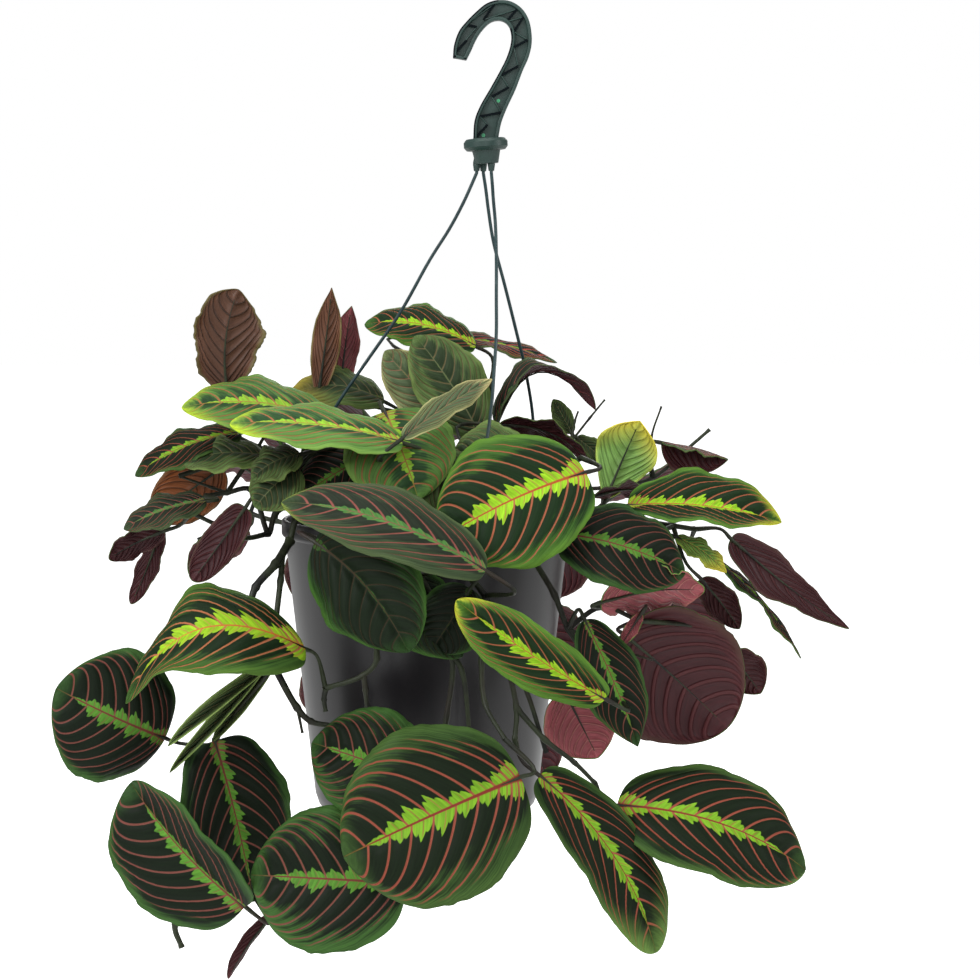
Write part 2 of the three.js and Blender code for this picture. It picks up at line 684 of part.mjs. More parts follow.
    stems: [
      { places: [[75, -300, -44], [105, -303, -46], [118, -305, -44]] },
    ],
    leaves: [
      { at: [0, 8], base: [140, -311, -42], tip: [211, -365, -40], width: 30,
        face: [-0.5, 0.75, -0.3], bow: 4, belly: 0.85, taper: 0.45 },
      { at: [0, 8], base: [122, -317, -34], tip: [182, -383, -26], width: 32,
        face: [0.7, -0.12, 0.67], bow: 5 },
      { at: [0, 7], base: [107, -310, -66], tip: [137, -331, -70], width: 16,
        face: [0.2, -0.6, 0.7], bow: 3 },
      { at: [0, 7], base: [122, -335, -54], tip: [145, -365, -52], width: 20,
        face: [0.2, 0.9, 0.2], bow: 3 },
      { at: [0, 6], base: [78, -291, -60], tip: [170, -301, -70], width: 50,
        face: [0, -0.55, 0.83], bow: 6, fold: 24, curl: -8 },
    ],
  },
  {
    name: "shoot_right_up",
    root: [0, 36],
    stems: [
      {
        radius: 1.5,
        places: [
          [10, -295, -4], [38, -282, -8], [64, -280, -10], [93, -274, -4], [112, -258, 0],
          [127, -245, 2],
        ],
      },
      { from: [0, 4], places: [[42, -262, 6], [44, -252, 10]] },
      { from: [1, 2], radius: 0.8, places: [[46, -240, 12], [48, -234, 12]] },
      { from: [1, 2], radius: 0.8, places: [[55, -238, 6], [64, -227, 6]] },
      { from: [0, 6], radius: 0.8, places: [[92, -250, -2], [98, -231, -2]] },
    ],
    leaves: [
      { at: [0, 5], base: [65, -286, -24], tip: [85, -240, -26], width: 37,
        face: [0.15, 0.9, 0.3], bow: 5, belly: 1.4, blunt: 0.7 },
      { at: [0, 6], base: [98, -253, -6], tip: [138, -263, -8], width: 38,
        face: [0, 0.75, 0.65], bow: 3, fold: -55, curl: 0 },
      { at: [1, 2], base: [44, -247, 14], tip: [33, -227, 18], width: 12,
        face: [0, -0.9, 0.3], bow: 1 },
      { at: [1, 2], base: [47, -250, 16], tip: [66, -267, 16], width: 15,
        face: [0.2, -0.8, 0.4], bow: 2 },
    ],
  },
  {
    name: "shoot_top",
    root: [60, 26],
    stems: [
      { places: [[-24, -292, 24], [-14, -252, 18], [-6, -225, 30]] },
    ],
    leaves: [
      { at: [0, 4], base: [-12, -247, 4], tip: [-50, -189, 8], width: 46,
        face: [0.25, -0.9, 0.35], bow: 6, fold: 14 },
      { at: [0, 4], base: [-29, -239, 14], tip: [-68, -198, 18], width: 34,
        face: [-0.4, -0.85, 0.3], bow: 4, fold: 20 },
      { at: [0, 5], base: [-14, -195, 34], tip: [-80, -182, 34], width: 46,
        face: [0, -0.5, 0.86], bow: 8, belly: 1.05, blunt: 0.48 },
      { at: [0, 5], base: [-44, -190, 56], tip: [35, -205, 54], width: 28,
        face: [0, -0.28, 0.96], bow: 5 },
      { at: [0, 4], base: [-1, -242, 26], tip: [58, -233, 22], width: 34,
        face: [0, -0.38, 0.92], bow: 31, twist: -60, fold: 30 },
    ],
  },
  {
    name: "shoot_top_left",
    root: [160, 32],
    stems: [
      { places: [[-92, -288, 14], [-98, -250, 18], [-98, -226, 26]] },
      { from: [0, 3], places: [[-130, -262, -2], [-158, -248, -8], [-166, -236, -8]] },
    ],
    leaves: [
      { at: [0, 5], base: [-108, -224, 28], tip: [-100, -160, 27], width: 19,
        face: [0.1, 0.9, 0.3], bow: 4, fold: 30, blunt: 0.75 },
      { at: [0, 5], base: [-95, -223, 42], tip: [-88, -171, 44], width: 21,
        face: [-0.3, 0.9, 0.2], bow: 3, fold: 30, blunt: 0.7 },
      { at: [0, 5], base: [-69, -228, 36], tip: [-127, -225, 36], width: 40,
        face: [0, -0.55, 0.83], bow: 10 },
      { at: [1, 3], base: [-162, -223, -10], tip: [-156, -161, -15], width: 42,
        face: [0.1, 0.95, 0.1], bow: -4, sweep: 4, twist: 30, belly: 1.25, blunt: 0.5 },
    ],
  },
  {
    name: "shoot_left",
    root: [190, 56],
    over: 190,
    stems: [
      { places: [[-149, -281, -24], [-163, -283, -24], [-176, -285, -28]] },
      { from: [0, 7], radius: 1, places: [[-172, -280, -24], [-192, -273, -26]] },
      { from: [0, 5], places: [[-154, -310, -38], [-166, -304, -42], [-185, -295, -46]] },
      { from: [2, 2], radius: 0.8, places: [[-181, -311, -44]] },
      { from: [2, 1], radius: 0.8, places: [[-160, -293, -44]] },
    ],
    leaves: [
      { at: [0, 7], base: [-155, -247, -28], tip: [-218, -273, -38], width: 38,
        face: [-0.3, -0.5, 0.8], bow: 6 },
      { at: [0, 6], base: [-141, -261, -44], tip: [-190, -266, -48], width: 34,
        face: [0, -0.5, 0.86], bow: 5 },
      { at: [1, 2], base: [-166, -268, -12], tip: [-209, -299, -8], width: 36,
        face: [0.2, 0.9, 0.2], bow: 4 },
      { at: [0, 8], base: [-176, -288, -46], tip: [-225, -305, -54], width: 28,
        face: [-0.1, -0.6, 0.8], bow: 4 },
      { at: [2, 3], base: [-201, -306, -34], tip: [-234, -323, -40], width: 18,
        face: [0.2, 0.8, 0.5], bow: 3, blunt: 0.42 },
      { at: [2, 3], base: [-203, -305, -26], tip: [-221, -350, -24], width: 14,
        face: [0.4, 0.9, 0.1], bow: 3, blunt: 0.4 },
      { at: [2, 1], base: [-152, -292, -60], tip: [-184, -336, -64], width: 22,
        face: [0.3, 0.85, 0.3], bow: 4, blunt: 0.35 },
    ],
  },
  {
    name: "shoot_centre",
    root: [235, 26],
    stems: [
      { places: [[-54, -292, -36], [-58, -262, -44]] },
    ],
    leaves: [
      { at: [0, 4], base: [-58, -253, -74], tip: [-161, -242, -86], width: 50,
        face: [0, -0.42, 0.9], bow: 6, blunt: 0.42 },
      { at: [0, 4], base: [-68, -235, -50], tip: [-48, -287, -84], width: 66,
        face: [0, -0.78, 0.62], bow: 6, blunt: 0.45 },
      { at: [0, 3], base: [-101, -240, -42], tip: [-190, -232, -54], width: 62,
        face: [0, -0.46, 0.88], bow: 8 },
      { at: [0, 3], base: [-94, -252, -34], tip: [-116, -278, -44], width: 30,
        face: [-0.1, -0.8, 0.6], bow: 3 },
      { at: [0, 3], base: [-119, -260, -60], tip: [-148, -275, -66], width: 30,
        face: [-0.1, -0.6, 0.8], bow: 4 },
      { at: [0, 3], base: [-121, -268, -60], tip: [-146, -292, -66], width: 36,
        face: [-0.1, -0.8, 0.6], bow: 3 },
      { at: [0, 4], base: [-57, -250, -86], tip: [-4, -215, -66], width: 17,
        face: [-0.3, -0.85, 0.4], bow: 3, fold: 20 },
      { at: [0, 3], base: [-78, -262, -52], tip: [-118, -286, -58], width: 42,
        face: [0, -0.8, 0.6], bow: 4 },
      { at: [0, 3], base: [-44, -264, -58], tip: [-16, -291, -68], width: 44,
        face: [0.1, -0.8, 0.6], bow: 4 },
    ],
  },
  {
    name: "shoot_bright",
    root: [310, 44],
    stems: [
      { places: [[22, -296, -44], [42, -268, -60], [50, -262, -76]] },
    ],
    leaves: [
      { at: [0, 5], base: [52, -271, -102], tip: [-36, -312, -116], width: 79,
        face: [0, -0.9, 0.45], bow: 10, belly: 1, blunt: 0.45 },
      { at: [0, 3], base: [19, -262, -38], tip: [-28, -262, -42], width: 44,
        face: [0, -0.8, 0.6], bow: 5 },
      { at: [0, 4], base: [58, -285, -34], tip: [98, -284, -32], width: 24,
        face: [0, 0.4, 0.9], bow: 4 },
      { at: [0, 3], base: [1, -242, -6], tip: [55, -265, -12], width: 32,
        face: [0, 0.42, 0.9], bow: 8 },
    ],
  },
  {
    name: "shoot_back_right",
    root: [32, 56],
    over: 30,
    stems: [
      { places: [[56, -306, 66], [78, -330, 80], [84, -358, 84]] },
    ],
    leaves: [
      { at: [0, 5], base: [68, -286, 82], tip: [126, -278, 108], width: 44, face: [0.1, 0.5, 0.86], bow: 8 },
      { at: [0, 7], base: [92, -338, 92], tip: [130, -382, 110], width: 52, face: [0.3, 0.93, 0.2], bow: 8 },
      { at: [0, 8], base: [82, -368, 92], tip: [92, -424, 104], width: 46, face: [0, 0.96, 0.2], bow: 8 },
      { at: [0, 6], base: [48, -304, 91], tip: [22, -350, 112], width: 52, face: [-0.1, 0.92, 0.35], bow: 8 },
      { at: [0, 4], base: [44, -268, 62], tip: [78, -252, 88], width: 36, face: [0, 0.5, 0.86], bow: 6 },
    ],
  },
  {
    name: "shoot_back",
    root: [72, 56],
    over: 72,
    stems: [
      { places: [[-12, -338, 102], [-8, -378, 104], [-4, -415, 106], [0, -440, 102]] },
    ],
    leaves: [
      { at: [0, 5], base: [-22, -304, 116], tip: [-60, -350, 138], width: 58, face: [-0.1, 0.9, 0.4], bow: 8 },
      { at: [0, 6], base: [8, -352, 120], tip: [46, -392, 136], width: 54, face: [0.2, 0.9, 0.35], bow: 8 },
      { at: [0, 7], base: [-16, -372, 120], tip: [-58, -418, 136], width: 60, face: [-0.1, 0.93, 0.3], bow: 10 },
      { at: [0, 8], base: [6, -412, 118], tip: [30, -456, 128], width: 46, face: [0.2, 0.93, 0.25], bow: 6 },
      { at: [0, 9], base: [-8, -446, 112], tip: [-46, -480, 122], width: 50, face: [-0.1, 0.95, 0.2], bow: 6 },
    ],
  },
  {
    name: "shoot_back_left",
    root: [112, 56],
    over: 112,
    stems: [
      { places: [[-84, -340, 98], [-88, -378, 98], [-86, -405, 100]] },
    ],
    leaves: [
      { at: [0, 5], base: [-92, -308, 112], tip: [-116, -354, 130], width: 52, face: [-0.25, 0.9, 0.35], bow: 8 },
      { at: [0, 6], base: [-78, -346, 114], tip: [-58, -394, 146], width: 50, face: [0.1, 0.9, 0.4], bow: 8 },
      { at: [0, 8], base: [-82, -412, 108], tip: [-86, -458, 116], width: 48, face: [-0.1, 0.95, 0.2], bow: 6 },
      { at: [0, 7], base: [-98, -384, 108], tip: [-108, -420, 124], width: 36, face: [-0.3, 0.92, 0.2], bow: 5 },
    ],
  },
  {
    name: "shoot_back_far_left",
    root: [148, 56],
    over: 150,
    stems: [
      { places: [[-134, -300, 56], [-148, -296, 66]] },
    ],
    leaves: [
      { at: [0, 6], base: [-140, -276, 64], tip: [-196, -264, 84], width: 44, face: [-0.1, 0.5, 0.86], bow: 8 },
      { at: [0, 4], base: [-122, -268, 74], tip: [-152, -242, 104], width: 46, face: [0, 0.6, 0.8], bow: 6 },
      { at: [0, 7], base: [-152, -304, 74], tip: [-186, -332, 84], width: 28, face: [-0.4, 0.85, 0.2], bow: 4 },
    ],
  },
  {
    name: "shoot_back_up",
    root: [100, 32],
    stems: [
      { places: [[-54, -292, 44], [-56, -268, 60]] },
    ],
    leaves: [
      { at: [0, 4], base: [-66, -255, 70], tip: [-104, -234, 98], width: 48, face: [0, 0.5, 0.86], bow: 8 },
      { at: [0, 4], base: [-46, -262, 76], tip: [-8, -246, 106], width: 46, face: [0, 0.5, 0.86], bow: 8 },
      { at: [0, 4], base: [-58, -272, 86], tip: [-64, -266, 134], width: 52, face: [0, 0.35, 0.94], bow: 8 },
      { at: [0, 3], base: [-30, -282, 72], tip: [12, -284, 108], width: 46, face: [0.1, 0.4, 0.9], bow: 8 },
    ],
  },
];

// Materials

const potPlastic = new THREE.MeshStandardMaterial({ color: 0x3c3c40, roughness: 0.45, metalness: 0 });
const hangerPlastic = new THREE.MeshStandardMaterial({ color: 0x2f4a45, roughness: 0.5, metalness: 0 });
const pottingSoil = new THREE.MeshStandardMaterial({ color: 0x3a2a20, roughness: 0.95, metalness: 0 });
const leafGreen = new THREE.MeshStandardMaterial({ color: 0x3f6a35, roughness: 0.5, metalness: 0 });

// The whole

const plant = new THREE.Group();
const pinAngles = STRANDS.map((strand) => strand.angle);
plant.add(named("pot", makePot(pinAngles), potPlastic));
plant.add(named("soil", makeSoil(SHOOTS.map((shoot) => riseOf(shoot)[0])), pottingSoil));
plant.add(named("hook", makeHook(STRANDS.map(exitOf)), hangerPlastic));
for (const strand of STRANDS) {
  plant.add(named(strand.name, makeStrand(strand), hangerPlastic));
}
for (const shoot of SHOOTS) {
  plant.add(named(shoot.name, makeShoot(shoot), leafGreen));
}

export default plant;
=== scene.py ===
"""A red-veined prayer plant in a plastic hanging pot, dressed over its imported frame.

Blender works in metres here and the sizes below are in millimetres, with +Z up and -Y to the front,
as in the part's source. The pieces follow the same named sizes and the same tables as the solids
that they stand for, and add fine blades, veins, crumbs of potting mix and the finish of each surface.
"""

import logging
import math
import random
from dataclasses import dataclass, replace
from enum import Enum
from typing import Iterable, Optional, Sequence, Union

import bpy
from mathutils import Euler, Matrix, Quaternion, Vector, noise

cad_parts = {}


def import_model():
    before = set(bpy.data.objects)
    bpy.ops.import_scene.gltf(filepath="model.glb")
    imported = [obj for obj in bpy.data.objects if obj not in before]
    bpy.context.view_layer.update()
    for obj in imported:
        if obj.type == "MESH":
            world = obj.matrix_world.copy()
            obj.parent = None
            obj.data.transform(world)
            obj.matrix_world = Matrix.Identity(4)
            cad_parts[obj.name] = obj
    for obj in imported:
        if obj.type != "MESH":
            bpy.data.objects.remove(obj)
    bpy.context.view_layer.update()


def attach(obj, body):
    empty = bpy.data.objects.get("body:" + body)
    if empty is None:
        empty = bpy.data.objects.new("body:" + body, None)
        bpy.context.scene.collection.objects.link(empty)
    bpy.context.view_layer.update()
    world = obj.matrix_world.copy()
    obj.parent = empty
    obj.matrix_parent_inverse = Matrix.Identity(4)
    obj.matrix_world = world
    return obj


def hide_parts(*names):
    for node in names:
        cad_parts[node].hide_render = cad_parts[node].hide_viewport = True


LOG = logging.getLogger("prayer_plant")

MM = 0.001
BODY = "root"
# Points of a mesh nearer than this, in metres, are made one.
SAME_PLACE = 1e-6

Place = tuple[float, float, float]
Colour = tuple[float, float, float]
Piece = bpy.types.Object
Material = bpy.types.Material
Socket = bpy.types.NodeSocket
Input = Union[float, int, tuple, "Value"]
Feeds = dict[Union[str, int], Input]


class Slot(Enum):
    """Names of material slots."""

    POT = "pot_plastic"
    HANGER = "hanger_plastic"
    SOIL = "soil"
    LEAF = "leaf"


# Places and curves


class PictureView:
    """The eye from which the picture shows the plant, and places as they are seen from it.

    The field is how wide a strip the picture shows at the pot's axis. The camera tilts down by a
    few degrees, and the shift of its lens, a share of the picture's width, does the rest.
    """

    EYE = Vector((-5, -1494, -150))
    FIELD = 588
    TILT = 1.3
    HORIZON = 0.1655

    @classmethod
    def seen(cls, place: Place) -> Vector:
        """The place that appears at (right, up) in the upright plane through the pot's axis.

        Args:
            place: How far right and up it appears, and its true depth.

        Returns:
            The true place in millimetres.
        """
        right, up, depth = place
        target = Vector((right, 0, up))
        return cls.EYE + (target - cls.EYE) * ((depth - cls.EYE.y) / -cls.EYE.y)


def smooth_curve(places: Sequence[Vector], steps: int) -> list[Vector]:
    """A smooth curve through the places, which makes no loops where they lie close together.

    Args:
        places: The places that it passes, two or more.
        steps: How many short lines stand for each stretch between two places.

    Returns:
        The points of the curve, its first and last place among them.
    """
    ends = [2 * places[0] - places[1], *places, 2 * places[-1] - places[-2]]
    points = []
    for before, start, end, after in zip(ends, ends[1:], ends[2:], ends[3:]):
        near, span, far = ((b - a).length ** 0.5 for a, b in ((before, start), (start, end), (end, after)))
        leave = (start - before) / near - (end - before) / (near + span) + (end - start) / span
        arrive = (end - start) / span - (after - start) / (span + far) + (after - end) / far
        leave *= span
        arrive *= span
        for step in range(steps):
            u = step / steps
            points.append(
                start
                + leave * u
                + (3 * (end - start) - 2 * leave - arrive) * u**2
                + (2 * (start - end) + leave + arrive) * u**3
            )
    return [*points, places[-1].copy()]


# Modelling by hand


def deselect() -> None:
    """Leaves every object unselected."""
    bpy.ops.object.select_all(action="DESELECT")


def make_active(piece: Piece) -> None:
    """Selects one piece alone and makes it the active one.

    Args:
        piece: The piece.
    """
    deselect()
    piece.select_set(True)
    bpy.context.view_layer.objects.active = piece


def joined(pieces: Sequence[Piece]) -> Piece:
    """Joins pieces into the first of them.

    Args:
        pieces: The pieces, each with its place in its mesh.

    Returns:
        The first piece, which now holds them all.
    """
    make_active(pieces[0])
    for piece in pieces[1:]:
        piece.select_set(True)
    bpy.ops.object.join()
    return bpy.context.object


def modified(piece: Piece, kind: str, **settings: object) -> None:
    """Adds a modifier to a piece and applies it.

    Args:
        piece: The piece.
        kind: The modifier's type.
        **settings: What is set on the modifier.
    """
    make_active(piece)
    modifier = piece.modifiers.new(kind.lower(), kind)
    for name, value in settings.items():
        setattr(modifier, name, value)
    bpy.ops.object.modifier_apply(modifier=modifier.name)


def bevelled(piece: Piece, width: float, segments: int = 2, angle: float = 40) -> None:
    """Rounds the edges of a piece that are sharper than an angle.

    Args:
        piece: The piece.
        width: How wide the rounding is, in millimetres.
        segments: How many faces stand for it.
        angle: The angle in degrees.
    """
    modified(
        piece, "BEVEL", width=width * MM, segments=segments, limit_method="ANGLE",
        angle_limit=math.radians(angle), use_clamp_overlap=True,
    )


def copied(model: Piece) -> Piece:
    """Copies a model.

    Args:
        model: The model.

    Returns:
        The copy, with a mesh of its own.
    """
    copy = model.copy()
    copy.data = model.data.copy()
    bpy.context.scene.collection.objects.link(copy)
    return copy


def cut(piece: Piece, cutter: Piece) -> None:
    """Cuts one closed piece out of another and removes it."""
    modified(piece, "BOOLEAN", operation="DIFFERENCE", solver="EXACT", object=cutter)
    bpy.data.objects.remove(cutter)


def smoothed(piece: Piece, angle: float = 35) -> None:
    """Shades a piece smooth, apart from edges sharper than an angle in degrees."""
    make_active(piece)
    bpy.ops.object.shade_smooth_by_angle(angle=math.radians(angle))


def fixed_in_place(piece: Piece) -> None:
    """Puts the object at the origin, with its place, turn and size in its mesh."""
    make_active(piece)
    bpy.ops.object.transform_apply(location=True, rotation=True, scale=True)


def turned(profile: Sequence[tuple[float, float]], axis: Vector, steps: int) -> Piece:
    """A closed solid of revolution round an upright axis.

    Args:
        profile: Pairs of radius and height, from the axis round and back to it.
        axis: A place on the axis.
        steps: How many sides it has.

    Returns:
        The piece, with its faces outwards.
    """
    deselect()
    bpy.ops.mesh.primitive_plane_add(size=MM)
    piece = bpy.context.object
    bpy.ops.object.mode_set(mode="EDIT")
    bpy.ops.mesh.merge(type="CENTER")
    places = [Vector((axis.x + radius, axis.y, height)) * MM for radius, height in profile]
    bpy.ops.transform.translate(value=places[0])
    for start, end in zip(places, places[1:]):
        bpy.ops.mesh.extrude_vertices_move(TRANSFORM_OT_translate={"value": end - start})
    bpy.ops.mesh.select_all(action="SELECT")
    bpy.ops.mesh.spin(steps=steps, angle=2 * math.pi, center=axis * MM, axis=(0, 0, 1))
    bpy.ops.mesh.select_all(action="SELECT")
    bpy.ops.mesh.remove_doubles(threshold=SAME_PLACE)
    bpy.ops.mesh.normals_make_consistent(inside=False)
    bpy.ops.object.mode_set(mode="OBJECT")
    return piece


def round_bar(start: Vector, end: Vector, radii: tuple[float, float], sides: int) -> Piece:
    """A round bar between two places, which may taper.

    Args:
        start: The middle of its first end.
        end: The middle of its last end.
        radii: Its radius at each end.
        sides: How many sides it has.

    Returns:
        The piece.
    """
    along = end - start
    deselect()
    bpy.ops.mesh.primitive_cone_add(
        vertices=sides,
        radius1=radii[0] * MM,
        radius2=radii[1] * MM,
        depth=along.length * MM,
        location=(start + end) / 2 * MM,
        rotation=along.to_track_quat("Z", "Y").to_euler(),
    )
    piece = bpy.context.object
    fixed_in_place(piece)
    return piece


def tube(points: Sequence[Vector], radii: Sequence[float], roundness: int = 2) -> Piece:
    """A closed tube along points, drawn as a curve and made a mesh.

    Args:
        points: The points of its middle line.
        radii: Its radius at each point.
        roundness: How finely its round is divided.

    Returns:
        The piece.
    """
    deselect()
    bpy.ops.curve.primitive_nurbs_path_add()
    piece = bpy.context.object
    curve = piece.data
    curve.splines.clear()
    line = curve.splines.new("POLY")
    line.points.add(len(points) - 1)
    for spot, point, radius in zip(line.points, points, radii):
        spot.co = (*(point * MM), 1)
        spot.radius = radius
    curve.dimensions = "3D"
    curve.bevel_depth = MM
    curve.bevel_resolution = roundness
    curve.use_fill_caps = True
    bpy.ops.object.convert(target="MESH")
    piece = bpy.context.object
    smoothed(piece, 60)
    return piece


def dressed(piece: Piece, name: str, nodes: Iterable[str]) -> Piece:
    """Names a finished piece, lets it stand for its solids, and reports it.

    Args:
        piece: The finished piece.
        name: Its name.
        nodes: The solids that it stands for.

    Returns:
        The same piece.
    """
    piece.name = name
    piece.data.name = name
    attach(piece, BODY)
    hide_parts(*nodes)
    piece.data.calc_loop_triangles()
    LOG.info("%s: %d triangles", name, len(piece.data.loop_triangles))
    return piece


# Finishes


def colour(red: float, green: float, blue: float) -> tuple[float, float, float, float]:
    """A linear colour from the numbers of a screen colour.

    Args:
        red: Its red, 0 to 255.
        green: Its green.
        blue: Its blue.

    Returns:
        The linear red, green and blue, 0 to 1, and a full alpha.
    """
    parts = [part / 255 for part in (red, green, blue)]
    linear = [part / 12.92 if part <= 0.04045 else ((part + 0.055) / 1.055) ** 2.4 for part in parts]
    return (*linear, 1.0)


class Value:
    """A number, place or colour in a node tree. Sums are written with it as with a plain number."""

    def __init__(self, graph: "Graph", socket: Socket) -> None:
        """Holds a socket and the graph that it is in."""
        self.graph, self.socket = graph, socket

    def __add__(self, other: Input) -> "Value":
        """The sum."""
        return self.graph.math("ADD", self, other)

    def __sub__(self, other: Input) -> "Value":
        """The difference."""
        return self.graph.math("SUBTRACT", self, other)

    def __rsub__(self, other: Input) -> "Value":
        """The difference from a plain number."""
        return self.graph.math("SUBTRACT", other, self)

    def __mul__(self, other: Input) -> "Value":
        """The product."""
        return self.graph.math("MULTIPLY", self, other)

    def __truediv__(self, other: Input) -> "Value":
        """The quotient."""
        return self.graph.math("DIVIDE", self, other)

    def __rtruediv__(self, other: Input) -> "Value":
        """A plain number divided by it."""
        return self.graph.math("DIVIDE", other, self)

    def __pow__(self, other: Input) -> "Value":
        """The power."""
        return self.graph.math("POWER", self, other)

    def __abs__(self) -> "Value":
        """The number without its sign."""
        return self.graph.math("ABSOLUTE", self)


class Graph:
    """Adds nodes to one node tree, each fed by numbers, colours or the values of others."""

    def __init__(self, tree: bpy.types.NodeTree) -> None:
        """Starts on a tree."""
        self.tree = tree

    def feed(self, node: bpy.types.Node, feeds: Feeds) -> None:
        """Links or sets inputs of a node.

        Args:
            node: The node.
            feeds: What feeds each input, by its name or number.
        """
        for name, value in feeds.items():
            if isinstance(value, Value):
                self.tree.links.new(value.socket, node.inputs[name])
            else:
                node.inputs[name].default_value = value

    def node(self, kind: str, feeds: Feeds, **settings: object) -> bpy.types.Node:
        """Adds a node.

        Args:
            kind: The node's type.
            feeds: What feeds each input, by its name or number.
            **settings: What is set on the node.

        Returns:
            The node.
        """
        made = self.tree.nodes.new(kind)
        for name, value in settings.items():
            setattr(made, name, value)
        self.feed(made, feeds)
        return made

    def value(self, kind: str, feeds: Feeds, output: Union[str, int] = 0, **settings: object) -> Value:
        """One output of a new node."""
        return Value(self, self.node(kind, feeds, **settings).outputs[output])

    def values(self, node: bpy.types.Node) -> dict[str, Value]:
        """All the outputs of a node, by their names."""
        return {socket.name: Value(self, socket) for socket in node.outputs}

    def group(self, name: str, feeds: Feeds) -> dict[str, Value]:
        """The outputs of a node group that is placed here with its own feeds."""
        return self.values(self.node("ShaderNodeGroup", feeds, node_tree=bpy.data.node_groups[name]))

    def math(self, operation: str, first: Input, second: Input = 0.0) -> Value:
        """The outcome of a sum on one or two numbers."""
        return self.value("ShaderNodeMath", {0: first, 1: second}, operation=operation)

    def ramp(self, value: Input, low: Input, high: Input, least: Input = 0.0, most: Input = 1.0) -> Value:
        """A smooth rise from least at low to most at high, or a fall where low is above high."""
        feeds = {"Value": value, "From Min": low, "From Max": high, "To Min": least, "To Max": most}
        return self.value("ShaderNodeMapRange", feeds, interpolation_type="SMOOTHSTEP")

    def mix(self, share: Input, first: Input, second: Input) -> Value:
        """The first colour with a share of the second."""
        return self.value("ShaderNodeMix", {0: share, 6: first, 7: second}, 2, data_type="RGBA")

    def scaled(self, tint: Input, amount: Input) -> Value:
        """A colour made lighter or darker by a number."""
        start = tint if isinstance(tint, Value) else tint[:3]
        return self.value("ShaderNodeVectorMath", {0: start, "Scale": amount}, operation="SCALE")

    def grain(self, place: Input, scale: Input, detail: float = 2.0) -> Value:
        """Noise from 0 to 1 at a place."""
        return self.value("ShaderNodeTexNoise", {"Vector": place, "Scale": scale, "Detail": detail})

    def stretched(self, place: Input, scale: Place) -> Value:
        """A place with each of its parts scaled."""
        return self.value("ShaderNodeMapping", {0: place, "Scale": scale})

    def spot(self, first: Input, second: Input, third: Input) -> Value:
        """A place made of three numbers."""
        return self.value("ShaderNodeCombineXYZ", {0: first, 1: second, 2: third})

    def parts(self, place: Input) -> list[Value]:
        """The three numbers of a place."""
        return list(self.values(self.node("ShaderNodeSeparateXYZ", {0: place})).values())

    def object_place(self) -> Value:
        """A point's place on the object."""
        return self.value("ShaderNodeTexCoord", {}, "Object")

    def relief(self, height: Input, depth: float) -> Value:
        """The normal of a surface raised by a height from 0 to 1 and a depth in millimetres."""
        return self.value("ShaderNodeBump", {"Height": height, "Distance": depth * MM, "Strength": 1.0})


class GroupGraph(Graph):
    """A shader node group that takes in a place and some numbers, and puts out numbers."""

    NAME = ""
    NUMBERS_IN: tuple[str, ...] = ()
    NUMBERS_OUT: tuple[str, ...] = ()

    def __init__(self) -> None:
        """Starts the group with its sockets."""
        super().__init__(bpy.data.node_groups.new(self.NAME, "ShaderNodeTree"))
        sockets = [("Place", "INPUT", "NodeSocketVector")]
        sockets += [(name, "INPUT", "NodeSocketFloat") for name in self.NUMBERS_IN]
        sockets += [(name, "OUTPUT", "NodeSocketFloat") for name in self.NUMBERS_OUT]
        for name, way, kind in sockets:
            self.tree.interface.new_socket(name, in_out=way, socket_type=kind)
        # The last socket of the input node is an empty one.
        *self.given, _ = self.values(self.node("NodeGroupInput", {})).values()

    def put_out(self, *found: Value) -> None:
        """Links what was found to the outputs, in their order."""
        self.feed(self.node("NodeGroupOutput", {}), dict(zip(self.NUMBERS_OUT, found)))


def new_finish(name: str, **settings: object) -> tuple[Material, Graph, bpy.types.Node]:
    """Starts a material.

    Args:
        name: The finish's name.
        **settings: What is the same all over the surface, set on the shader.

    Returns:
        The material, its graph, and its shader node.
    """
    finish = bpy.data.materials.new(name)
    finish.use_nodes = True
    shader = finish.node_tree.nodes["Principled BSDF"]
    for socket, value in settings.items():
        shader.inputs[socket.replace("_", " ")].default_value = value
    return finish, Graph(finish.node_tree), shader


